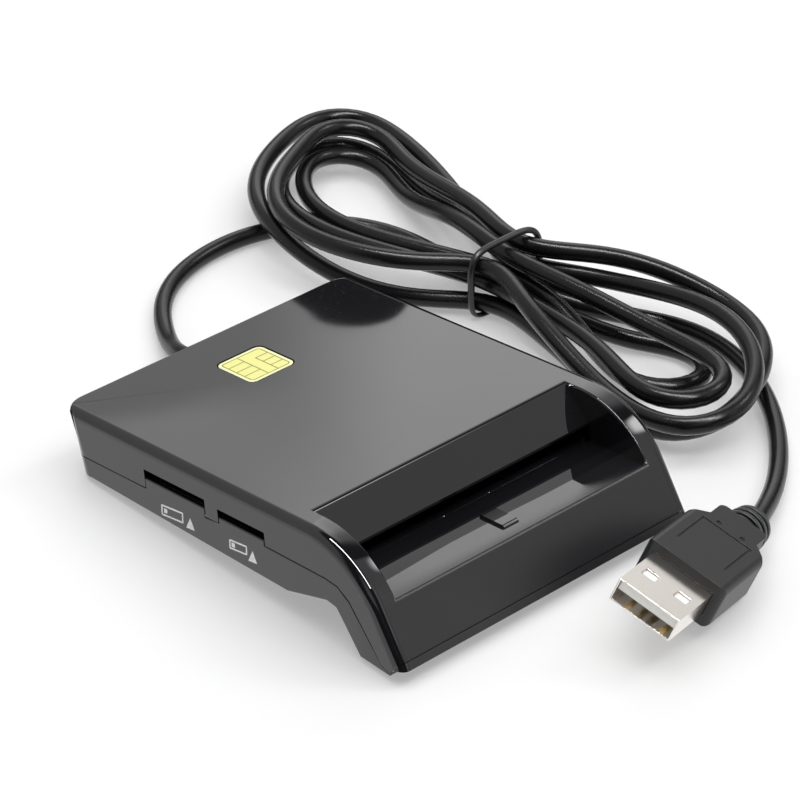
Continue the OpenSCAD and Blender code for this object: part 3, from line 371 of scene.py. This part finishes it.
def piece_of(name, points, faces, finish, smooth=True):
    """A new piece of the housing from points in millimetres and its faces."""
    mesh = bpy.data.meshes.new(name)
    mesh.from_pydata((np.asarray(points) * MM).tolist(), [], [list(map(int, f)) for f in faces])
    mesh.polygons.foreach_set("use_smooth", [smooth] * len(mesh.polygons))
    mesh.update()
    made = bpy.data.objects.new(name, mesh)
    bpy.context.scene.collection.objects.link(made)
    coat(made, FINISHES[finish])
    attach(made, "housing")
    return made


def ring_faces(rows, columns):
    """Quads between closed rings of points numbered row by row."""
    i = np.arange(rows - 1)[:, None]
    j = np.arange(columns)[None, :]
    k = (j + 1) % columns
    quads = np.stack([i * columns + j, i * columns + k, (i + 1) * columns + k, (i + 1) * columns + j], -1)
    return quads.reshape(-1, 4)


def capped(rows, columns):
    """Quads between closed rings and a flat cap on the first ring and on the last."""
    last = (rows - 1) * columns
    caps = [list(range(columns))[::-1], list(range(last, last + columns))]
    return ring_faces(rows, columns).tolist() + caps


def turn_faces_out(piece):
    work = bmesh.new()
    work.from_mesh(piece.data)
    bmesh.ops.recalc_face_normals(work, faces=work.faces)
    work.to_mesh(piece.data)
    work.free()


# Camera: fitted to the photograph's frame of 800 pixels, so the focal length is in pixels too

AZIMUTH, ELEVATION, ROLL = (math.radians(a) for a in (-41.88, 32.63, -0.51))
AIM_POINT, EYE_AWAY = np.array([14.12, 7.93, 10.0]), 621.8
FOCAL_PIXELS, FRAME_PIXELS, SENSOR = 3516.0, 800, 36.0


def add_camera():
    """A camera that looks along a line through the aim point, turned a little about that line."""
    flat = math.cos(ELEVATION)
    back = np.array([math.sin(AZIMUTH) * flat, -math.cos(AZIMUTH) * flat, math.sin(ELEVATION)])
    level = np.array([math.cos(AZIMUTH), math.sin(AZIMUTH), 0.0])
    upright = np.cross(back, level)
    right = math.cos(ROLL) * level + math.sin(ROLL) * upright
    up = -math.sin(ROLL) * level + math.cos(ROLL) * upright
    lens = bpy.data.cameras.new("photograph_view")
    lens.sensor_width, lens.lens = SENSOR, FOCAL_PIXELS / FRAME_PIXELS * SENSOR
    lens.clip_start, lens.clip_end = 0.05, 20.0
    camera = bpy.data.objects.new("photograph_view", lens)
    bpy.context.scene.collection.objects.link(camera)
    turn = np.eye(4)
    turn[:3, :3] = np.stack([right, up, back], 1)
    turn[:3, 3] = (AIM_POINT + EYE_AWAY * back) * MM
    camera.matrix_world = Matrix(turn.tolist())
    bpy.context.scene.camera = camera


add_camera()

# Cord: the route of the CAD source, in millimetres. The hank's strands pass the tie in slots across and
# up, and each loop has a length, half widths right and left, fullness right and left, a lean in degrees,
# and heights right and left

LEAD = [
    [0, 46, 5.8], [0, 47.5, 5.8], [0, 49, 5.8], [1, 54, 4], [4.5, 61, 1.9], [10.5, 71, 1.8], [19, 78, 1.8],
    [29, 81.5, 1.8], [39, 82, 1.8], [49, 79, 1.8], [57.5, 72.5, 1.8], [62, 63, 1.8], [63, 54, 1.8],
    [62.4, 46.5, 2.2], [62, 41.5, 2.7], [62, 38, 2.7], [62, 34.5, 2.7],
]
TAIL = [
    [66.9, 27.5, 2.7], [67.5, 24, 2.7], [68.1, 20.5, 2.7], [71.2, 14.5, 1.9], [76, 6, 1.8], [79, -4, 1.8],
    [77.5, -15, 1.8], [73.5, -24, 1.8], [67.5, -33, 1.8], [60, -41, 1.8], [51.7, -47.8, 2.1], [44.7, -52, 3],
    [39.2, -54.9, 4], [37.7, -55.34, 4.3],
]
SLEEVE_INSIDE = [36.13, -55.8, 4.6]
TIE_X, TIE_Y, SLOT_X, SLOT_Z, FIRST_Z = 62.0, 31.0, 4.3, 4.0, 2.7
FORWARD_SLOTS = [[0, 0], [0, 2], [1, 1], [1, 2], [1, 0]]
BACK_SLOTS = [[0, 1], [-1, 1], [-1, 2], [-1, 0]]
FRONT_LOOPS = [
    [45.9, 1, 8.8, 3.1, 2.9, 9, 1.8, 2.5], [57.5, 4, 7.8, 2.3, 5.9, -0.1, 8.7, 8.1],
    [64.2, 16.4, 5, 0.7, 0.6, -7.7, 10.3, 5.9], [59.9, 20.9, 5.5, 0.9, 5.5, -5, 7, 1.8],
]
REAR_LOOPS = [
    [60.3, 4, 16.8, 4.6, 1.5, 10.1, 3.3, 5.9], [65.5, 3.6, 18.2, 4.1, 1.4, 11.1, 1.8, 6],
    [62.2, -1.5, 26.9, 4.9, 0.7, 14.7, 7.3, 10.1], [71.6, 5.3, 26.7, 0.8, 0.6, 13.6, 5.7, 6.6],
]
LOOP_STEPS, SPAN_STEPS = 24, 5


def smooth_step(t):
    t = np.clip(t, 0, 1)
    return t * t * (3 - 2 * t)


def lobe(start, end, shape, ahead):
    """One loop of the hank: from its slot at the tie, out along a drop-shaped path whose width goes with
    sin(th) * sin(th / 2) ** fullness, and back to the next slot. It passes from slot to slot between 0.3
    and 0.7 of its turn, and from the slot's height to its own between 0.2 and 0.7 of its length."""
    th = np.radians(np.arange(LOOP_STEPS) * 360 / LOOP_STEPS)
    length, wide_r, wide_l, full_r, full_l, lean, high_r, high_l = shape
    h = (1 - np.cos(th)) / 2
    side = np.where(th < np.pi - 1e-9, 1, -1) * (1 if ahead < 0 else -1)
    width, full = np.where(side > 0, wide_r, wide_l), np.where(side > 0, full_r, full_l)
    peak = 2 * ((full + 1) / (full + 2)) ** ((full + 1) / 2) * np.sqrt(1 / (full + 2))
    out = side * width / peak * np.abs(np.sin(th)) * np.abs(np.sin(th / 2)) ** full
    out = out + length * h * math.tan(math.radians(lean))
    passed = smooth_step((th / (2 * np.pi) - 0.3) / 0.4)
    risen = smooth_step((h - 0.2) / 0.5)
    low = FIRST_Z + SLOT_Z * (start[1] + (end[1] - start[1]) * passed)
    first, last = (high_r, high_l) if ahead < 0 else (high_l, high_r)
    far = first + (last - first) * passed
    x = TIE_X + SLOT_X * (start[0] + (end[0] - start[0]) * passed) + out
    return np.stack([x, TIE_Y + ahead * length * h, low * (1 - risen) + far * risen], 1)


def spline(points):
    """A smooth curve through given points: each span is a cubic whose ends follow the neighbours."""
    p = np.asarray(points, float)
    a, b, c, d = (p[np.clip(np.arange(len(p) - 1) + k, 0, len(p) - 1)][:, None] for k in (-1, 0, 1, 2))
    t = (np.arange(SPAN_STEPS) / SPAN_STEPS)[None, :, None]
    span = (2 * b + (c - a) * t + (2 * a - 5 * b + 4 * c - d) * t**2 + (3 * b - a - 3 * c + d) * t**3) / 2
    return np.concatenate([span.reshape(-1, 3), p[-1:]])


def cord_route():
    """The whole cord: lead, the eight loops of the hank through their places at the tie, and tail."""
    loops = []
    for i in range(4):
        loops.append(lobe(FORWARD_SLOTS[i], BACK_SLOTS[i], FRONT_LOOPS[i], -1))
        loops.append(lobe(BACK_SLOTS[i], FORWARD_SLOTS[i + 1], REAR_LOOPS[i], 1))
    hank = np.concatenate([*loops, [[TIE_X + SLOT_X, TIE_Y, FIRST_Z]]])
    return np.concatenate([spline(LEAD), hank, spline(TAIL)])


def resampled(points, spacing):
    """Points at equal distances along a line of points."""
    run = np.concatenate([[0], np.cumsum(np.linalg.norm(np.diff(points, axis=0), axis=1))])
    at = np.linspace(0, run[-1], int(round(run[-1] / spacing)) + 1)
    return np.stack([np.interp(at, run, points[:, k]) for k in range(3)], 1)


def settled(drawn, spacing=2.0, stiffness=24.0, least_bend=7.5, play=0.12, rounds=80, held=400.0, apart=20):
    """The drawn route as a springy cord takes it up: the smoothest line near the drawn points, found by
    solving hold * (line - drawn - push) + stiffness * (fourth difference of line) = 0, while push grows
    until no two strands are nearer than a diameter and some play, no arc is tighter than the least bend,
    and nothing sinks into the floor. Points on two strands are those at least apart along the cord, and
    its ends are held."""
    drawn = resampled(drawn, spacing)
    count = len(drawn)
    second = np.diff(np.eye(count), 2, axis=0)
    hold = np.ones(count)
    hold[:3] = hold[-4:] = held
    spread = np.linalg.solve(np.diag(hold) + stiffness * second.T @ second, np.diag(hold))
    i, j = np.triu_indices(count, 2)
    close = np.linalg.norm(drawn[i] - drawn[j], axis=1) < 8 * CORD_R
    i, j = i[close], j[close]
    arc = (j - i) * spacing
    chord = np.where(arc <= np.pi * least_bend, 2 * least_bend * np.sin(arc / (2 * least_bend)), 0)
    want = np.where(arc >= apart, np.maximum(chord, 2 * CORD_R + play), chord)
    push = np.zeros_like(drawn)
    for _ in range(rounds):
        line = spread @ (drawn + push)
        across = line[i] - line[j]
        far = np.linalg.norm(across, axis=1)
        hit = want > far
        step = across[hit] * ((want - far)[hit] / np.maximum(far[hit], 0.01) / 2)[:, None]
        move, met = np.zeros_like(line), np.zeros(count)
        np.add.at(move, i[hit], step)
        np.add.at(move, j[hit], -step)
        np.add.at(met, np.concatenate([i[hit], j[hit]]), 1)
        move /= np.sqrt(np.maximum(met, 1))[:, None]
        move[:, 2] += np.maximum(0, CORD_R + 0.03 - line[:, 2])
        push += move
        push[:3] = push[-4:] = 0
    line[:, 2] = np.maximum(line[:, 2], CORD_R + 0.02)
    return line


def tube_points(route, radius, sides):
    """Rings square to a route, each turned as little as possible from the one before."""
    step = np.gradient(route, axis=0)
    step /= np.linalg.norm(step, axis=1, keepdims=True)
    side = np.cross(step[0], [0.0, 0.0, 1.0])
    angles = np.linspace(0, 2 * np.pi, sides, endpoint=False)[:, None]
    rings = []
    for point, ahead in zip(route, step):
        side = side - ahead * (side @ ahead)
        side /= np.linalg.norm(side)
        rings.append(point + radius * (np.cos(angles) * side + np.sin(angles) * np.cross(ahead, side)))
    return np.concatenate(rings)


CORD_SIDES = 16
route = np.concatenate([settled(cord_route()), [SLEEVE_INSIDE]])
cord_mesh = tube_points(route, CORD_R, CORD_SIDES)
cord = piece_of("reader_cord", cord_mesh, capped(len(route), CORD_SIDES), "sheath")
turn_faces_out(cord)
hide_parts("cord_lead", "cord_hank", "cord_tail")

# Shells: each rule below says of an edge of the CAD mesh, by its two ends, whether it is one to be
# rounded. Points this near to the outer line, a wall, a flat or a rounded corner count as on it, and the
# rules are kept to these places: the rear rim, the lip above the foot, a stretch of the left wall, the
# foot, and the rims above the seam

ON_SKIN, ON_WALL, ON_FLAT, ON_CORNER = 0.06, 0.02, 0.05, 0.15
REAR_FROM, LIP_ABOVE, LEFT_FROM, LEFT_TO = 40, 6, 5, 41
FOOT_Y, FOOT_TOP, FOOT_HALF, RIM_ABOVE = -40, 5.2, 31.8, 4.8


def depth(point):
    """How far a point lies below the outer line of the side view: deck, round arch and apron."""
    along, up = point[1] - ARCH_Y, point[2] - ARCH_Z
    if along * math.cos(TILT) - up * math.sin(TILT) > 0:
        return ARCH_R - along * math.sin(TILT) - up * math.cos(TILT)
    if along * math.cos(SLOPE) + up * math.sin(SLOPE) < 0:
        return ARCH_R + along * math.sin(SLOPE) - up * math.cos(SLOPE)
    return ARCH_R - math.hypot(along, up)


def on_skin(*ends):
    return all(abs(depth(v)) < ON_SKIN for v in ends)


def arch_edge(*ends):
    return on_skin(*ends) and all(abs(abs(v[0]) - BAY_HALF) < ON_WALL for v in ends)


def panel_edge(*ends):
    return on_skin(*ends) and all(
        abs(v[1] - BAY_Y) < ON_FLAT and abs(v[0]) < BAY_HALF + ON_WALL for v in ends
    )


def lip_edge(*ends):
    return on_skin(*ends) and all(
        v[1] < ARCH_Y and v[2] > LIP_ABOVE and abs(v[0]) < BAY_HALF + ON_WALL for v in ends
    )


def rear_edge(*ends):
    return on_skin(*ends) and all(v[1] > REAR_FROM for v in ends)


def left_edge(*ends):
    return all(abs(v[0] + HALF_W) < ON_WALL and LEFT_FROM < v[1] < LEFT_TO for v in ends)


def foot_edge(*ends):
    return on_skin(*ends) and all(
        v[1] < FOOT_Y and v[2] < FOOT_TOP and abs(v[0]) < FOOT_HALF for v in ends
    )


def outside(v):
    """True on the side walls, the deck and apron, the rear wall, whose plane leans forward as it rises,
    and the two upright rounded corners at its ends."""
    rear = REAR_Y - (v[2] - REAR_H) * math.tan(REAR_LEAN)
    from_axis = math.hypot(abs(v[0]) - HALF_W + CORNER_R, (v[1] - rear) * math.cos(REAR_LEAN) + CORNER_R)
    on_wall = abs(abs(v[0]) - HALF_W) < ON_FLAT or abs(v[1] - rear) < ON_SKIN
    return on_wall or abs(depth(v)) < ON_SKIN or abs(from_axis - CORNER_R) < ON_CORNER


def rim_edge(*ends):
    return all(outside(v) and v[2] > RIM_ABOVE for v in ends)


def any_edge(*ends):
    return True


SHARP, BEVEL_STEPS, MERGE = math.radians(32), 3, 2e-6


def eased_copy(node, rules, finish, name):
    """A copy of a CAD node for smooth shading: its triangles are merged and its flat faces made whole,
    then each sharp edge that a rule picks is rounded by that rule's width in millimetres."""
    work = bmesh.new()
    work.from_mesh(nodes[node].data)
    bmesh.ops.remove_doubles(work, verts=work.verts, dist=MERGE)
    bmesh.ops.dissolve_limit(work, angle_limit=math.radians(0.3), verts=work.verts, edges=work.edges)
    share = work.edges.layers.float.new("bevel_weight_edge")
    widest = max(width for _, width in rules)
    for edge in work.edges:
        if edge.is_manifold and edge.calc_face_angle() > SHARP:
            ends = [np.array(v.co) / MM for v in edge.verts]
            edge[share] = next((width / widest for pick, width in rules if pick(*ends)), 0.0)
    mesh = bpy.data.meshes.new(name)
    work.to_mesh(mesh)
    work.free()
    mesh.polygons.foreach_set("use_smooth", [True] * len(mesh.polygons))
    mesh.set_sharp_from_angle(angle=SHARP)
    made = bpy.data.objects.new(name, mesh)
    bpy.context.scene.collection.objects.link(made)
    coat(made, FINISHES[finish])
    ease = made.modifiers.new("eased_edges", "BEVEL")
    ease.limit_method, ease.width, ease.segments = "WEIGHT", widest * MM, BEVEL_STEPS
    ease.use_clamp_overlap, ease.harden_normals, ease.miter_outer = False, False, "MITER_ARC"
    weigh = made.modifiers.new("flat_faces_stay_flat", "WEIGHTED_NORMAL")
    weigh.keep_sharp, weigh.weight = True, 80
    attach(made, "housing")
    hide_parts(node)
    return made


UPPER_RULES = [
    (arch_edge, 0.4), (panel_edge, 0.18), (lip_edge, 0.12), (left_edge, 0.12), (rear_edge, 0.4),
    (foot_edge, 0.4), (rim_edge, 0.1),
]
LOWER_RULES = [(left_edge, 0.12), (rim_edge, 0.2)]
eased_copy("upper_shell", UPPER_RULES, "shell", "upper_case")
eased_copy("lower_shell", LOWER_RULES, "marked_shell", "lower_case")

# Emblem, and behind it and on its right a near-black dull plate of painted shade, which stands for the
# shaded far walls of its recess


def plate(name, finish, mid, half, corner_r, rows, steps=10):
    """A thin rounded plate on the deck: its outline, inset and lifted by each row, and its flat top."""
    turn = np.radians(np.add.outer(np.arange(4) * 90, np.linspace(0, 90, steps))).reshape(-1)
    sign_x, sign_a = (np.repeat(s, steps) for s in ([1, -1, -1, 1], [1, 1, -1, -1]))
    rings = []
    for up, inset in rows:
        x = mid[0] + sign_x * (half[0] - corner_r) + (corner_r - inset) * np.cos(turn)
        along = mid[1] + sign_a * (half[1] - corner_r) + (corner_r - inset) * np.sin(turn)
        rings.append(deck_point(x, along, up))
    return piece_of(name, np.concatenate(rings), capped(len(rows), 4 * steps), finish, smooth=False)


RECESS_MID = (PAD_MID[0] + 0.2, PAD_MID[1] + 0.24)
RECESS_HALF = (PAD_HALF[0] + 0.22, PAD_HALF[1] + 0.25)
pad = plate("printed_plate", "emblem", PAD_MID, PAD_HALF, PAD_R, ((-0.02, 0), (0.05, 0), (0.07, 0.03)))
# Painted shade: a dark dull plate a little larger than the emblem, showing at its rear and right as the
# recess's shadowed walls
plate("painted_recess_shadow", "recess", RECESS_MID, RECESS_HALF, PAD_R + 0.15, ((-0.02, 0), (0.03, 0)))
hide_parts("chip_emblem")

# Tie: half width, heights and middle of its loop, how square its halves are, and half sizes of its wire

TIE_HALF, TIE_LOW, TIE_HIGH, TIE_MID = 8.9, 6.2, 7.3, (TIE_X - 0.1, TIE_Y, 6.75)
SQUARE_LOW, SQUARE_HIGH, TIE_SKEW = 7.0, 4.2, 0.5
WIRE_THIN, WIRE_THICK, WIRE_WIDE = 0.42, 0.62, 0.72


def wire_tie(steps=144, sides=16):
    """A closed loop of round wire about the hank: |x / a|^p + |z / b|^p = 1, squarer below, where it lies
    between the cord and the floor, than above, and swept by a small ellipse that is flatter below."""
    th = np.linspace(0, 2 * np.pi, steps, endpoint=False)
    c, s = np.cos(th), np.sin(th)
    power, high = np.where(s < 0, SQUARE_LOW, SQUARE_HIGH), np.where(s < 0, TIE_LOW, TIE_HIGH)
    x, z = (np.sign(v) * np.abs(v) ** (2 / power) for v in (c, s))
    loop = np.stack([TIE_HALF * x, TIE_SKEW * s, high * z], 1)
    ahead = np.roll(loop, -1, 0) - np.roll(loop, 1, 0)
    outward = np.stack([ahead[:, 2], np.zeros(steps), -ahead[:, 0]], 1)
    outward /= np.linalg.norm(outward, axis=1, keepdims=True)
    turn = np.linspace(0, 2 * np.pi, sides, endpoint=False)[None, :, None]
    thick = WIRE_THIN + (WIRE_THICK - WIRE_THIN) * smooth_step((loop[:, 2] + 5.0) / 3.0)
    across = (thick[:, None] * outward)[:, None]
    section = np.cos(turn) * across + WIRE_WIDE * np.sin(turn) * np.array([0, 1, 0])
    points = (loop + TIE_MID)[:, None] + section
    faces = ring_faces(steps + 1, sides) % (steps * sides)
    return piece_of("wire_tie", points.reshape(-1, 3), faces, "tie")


# Plug: where its front end lies, how it is turned about x, y and z, and places along its own axis

PLUG_AT, PLUG_TURN = np.array([-0.82, -65.93, 9.02]), np.radians([19.4, 9.73, 16.45])
PLUG_MID, GRIP_REAR, SLEEVE_END = 2.25, 33.5, 40.0


def turned(axis, angle):
    c, s = math.cos(angle), math.sin(angle)
    m = np.eye(3)
    i, j = (axis + 1) % 3, (axis + 2) % 3
    m[i, i] = m[j, j] = c
    m[i, j], m[j, i] = -s, s
    return m


PLUG = turned(2, PLUG_TURN[2]) @ turned(1, PLUG_TURN[1]) @ turned(0, PLUG_TURN[0])
# The sleeve's collar as (place behind the grip, radius), and the start and radius of each of three ribs
COLLAR = [(-0.4, 0.2), (-0.4, 4.15), (0.6, 4.15), (0.72, 4.0)]
RIBS, GROOVE_R = [(0.72, 4.25), (2.5, 4.1), (4.3, 3.85)], 2.95


def ribbed_sleeve(sides=40):
    """Strain relief: a cone about the plug's axis that narrows to the cord, with three grooves cut square
    into it; each ring of points is the radius at one place along the axis, turned about it."""
    run = SLEEVE_END - GRIP_REAR
    stops = list(COLLAR)
    for start, r in RIBS:
        stops += [(start + 0.02, GROOVE_R), (start + 0.68, GROOVE_R), (start + 0.7, r - 0.15)]
        stops += [(start + 0.85, r), (start + 1.6, r - 0.06), (start + 1.76, r - 0.2)]
    stops += [(run + 0.05, 3.3), (run + 0.3, 2.9), (run + 0.35, 2.0), (run + 0.3, 1.6)]
    along, radius = np.array(stops).T[:, :, None]
    th = np.linspace(0, 2 * np.pi, sides, endpoint=False)
    place = np.broadcast_arrays(GRIP_REAR + along, radius * np.cos(th), PLUG_MID + radius * np.sin(th))
    points = PLUG_AT + np.stack(place, -1).reshape(-1, 3) @ PLUG.T
    made = piece_of("ribbed_sleeve", points, capped(len(stops), sides), "grip")
    turn_faces_out(made)
    made.data.set_sharp_from_angle(angle=math.radians(38))
    return made


tie = wire_tie()
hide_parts("cord_tie")
grip = eased_copy("plug_grip", [(any_edge, 0.05)], "grip", "moulded_grip")
sleeve = ribbed_sleeve()
steel = eased_copy("plug_shell", [(any_edge, 0.1)], "plug_steel", "plug_sheet")
grommet = eased_copy("cable_grommet", [(any_edge, 0.15)], "grip", "outlet_grommet")

# Floor: paper that holds the shadow, and is made whiter to the camera and almost white in reflections

WHITE_SEEN, WHITE_IN_GLOSS, FLOOR_HALF = 0.32, 0.95, 6
paper = Finish("white_paper", Base_Color=(0.9, 0.9, 0.9), Roughness=0.9, Specular_IOR_Level=0.1)
to_camera, in_gloss, in_glass = paper.rays("Camera", "Glossy", "Transmission")
share = to_camera * WHITE_SEEN + in_gloss.most(in_glass) * WHITE_IN_GLOSS
glow = paper.node("ShaderNodeEmission", {}, {"Color": (1, 1, 1, 1), "Strength": 1.0})
lit = Value(paper, paper.shader.outputs[0])
blend = paper.node("ShaderNodeMixShader", {}, {0: share, 1: lit, 2: glow})
paper.feed(paper.tree.nodes["Material Output"].inputs["Surface"], blend)
corners = [(FLOOR_HALF * x, FLOOR_HALF * y, 0) for x, y in ((-1, -1), (1, -1), (1, 1), (-1, 1))]
floor_mesh = bpy.data.meshes.new("floor")
floor_mesh.from_pydata(corners, [], [(0, 1, 2, 3)])
floor = bpy.data.objects.new("floor", floor_mesh)
bpy.context.scene.collection.objects.link(floor)
coat(floor, paper.material)

# Room: white to the camera, and for all else a dark studio with soft-edged screens. These are their
# strengths, where 1 is white

DARK, REAR_SCREEN, REAR_RIGHT, REAR_UPPER, BRIGHT_PART = 0.03, 0.62, 0.28, 0.5, 1.16
FRONT_SCREEN, FRONT_STRIP, LEFT_SCREEN, WINDOW = 0.62, 0.6, 0.7, 8.0


def room_light(x, y, z):
    """Strength of the light from a direction: x is to the right, y to the rear and z up. Each screen is a
    product of rises over the direction's parts: a pale one low behind the reader, lighter to the right
    and with a bright part and a round dark flag, a grey one and a narrow one in front, one on the left
    and a small high window."""
    low = z.rise(0.2, 0.12).most((0 - x).rise(0.1, 0.15) * z.rise(-0.05, 0.05))
    behind = y.rise(0.0, 0.3) * low * (1 - z.rise(0.78, 0.06))
    upper = z.rise(0.374, 0.01) * (1 - x.rise(0.518, 0.03)) * x.rise(0.4, 0.06)
    screen = REAR_SCREEN + x.rise(0.2, 0.25) * REAR_RIGHT + upper * REAR_UPPER
    bright = (x * 0.89 + z * 0.456).rise(0.64, 0.042) * y.rise(0.3, 0.25)
    flag = ((x - 0.5635) / 0.0142) ** 2.0 + ((z - 0.352) / 0.0151) ** 2.0
    flag = (1 - flag.rise(0.92, 0.16)) * y.rise(0.6, 0.05)
    rear = behind * (screen + bright * BRIGHT_PART) * (1 - flag)
    front = (0 - y).rise(0.1, 0.06) * x.rise(0.12, 0.25) * z.rise(0.0, 0.15)
    window = (x * 0.66 - y * 0.25 + z * 0.71).rise(0.985, 0.013) * x.rise(0.55, 0.045)
    strip = (0 - y).rise(0.5, 0.15) * x.rise(0.2, 0.08) * (1 - x.rise(0.42, 0.06)) * z.rise(0.2, 0.1)
    left = (0 - x).rise(0.25, 0.3) * (0 - y).rise(0.25, 0.3) * z.rise(0.32, 0.15)
    room = DARK + left * LEFT_SCREEN + rear + front * FRONT_SCREEN + strip * FRONT_STRIP
    return room + window * WINDOW


world = bpy.data.worlds.new("studio")
bpy.context.scene.world = world
world.use_nodes = True
sky = Graph(world.node_tree)
seen = sky.rays("Camera")[0]
room = room_light(*sky.split(sky.node("ShaderNodeTexCoord", out=0)))
backdrop = world.node_tree.nodes["Background"]
backdrop.inputs["Color"].default_value = (1, 1, 1, 1)
sky.feed(backdrop.inputs["Strength"], seen + (1 - seen) * room)

# Lamps


def lamp(name, at, aim, size, watts, lights):
    """A soft lamp, wide and long, at a place in metres and aimed at a point, its length along the body.
    It lights only the matt part of each surface, or only the gloss."""
    data = bpy.data.lights.new(name, "AREA")
    data.shape = "RECTANGLE"
    data.size, data.size_y, data.energy = *size, watts
    made = bpy.data.objects.new(name, data)
    bpy.context.scene.collection.objects.link(made)
    made.location = at
    away = Vector(at) - Vector(aim)
    made.rotation_euler = away.to_track_quat("Z", "Y").to_euler()
    made.visible_glossy, made.visible_diffuse = lights == "gloss", lights == "matt"


lamp("overhead_strip", (-0.07, -0.3, 1.15), (-0.07, -0.3, 0), (0.14, 1.5), 26.0, "gloss")
lamp("overhead_soft", (0.1, -0.05, 1.3), (0.03, 0, 0), (1.5, 1.5), 16.0, "matt")

bpy.context.scene.view_settings.view_transform = "Standard"
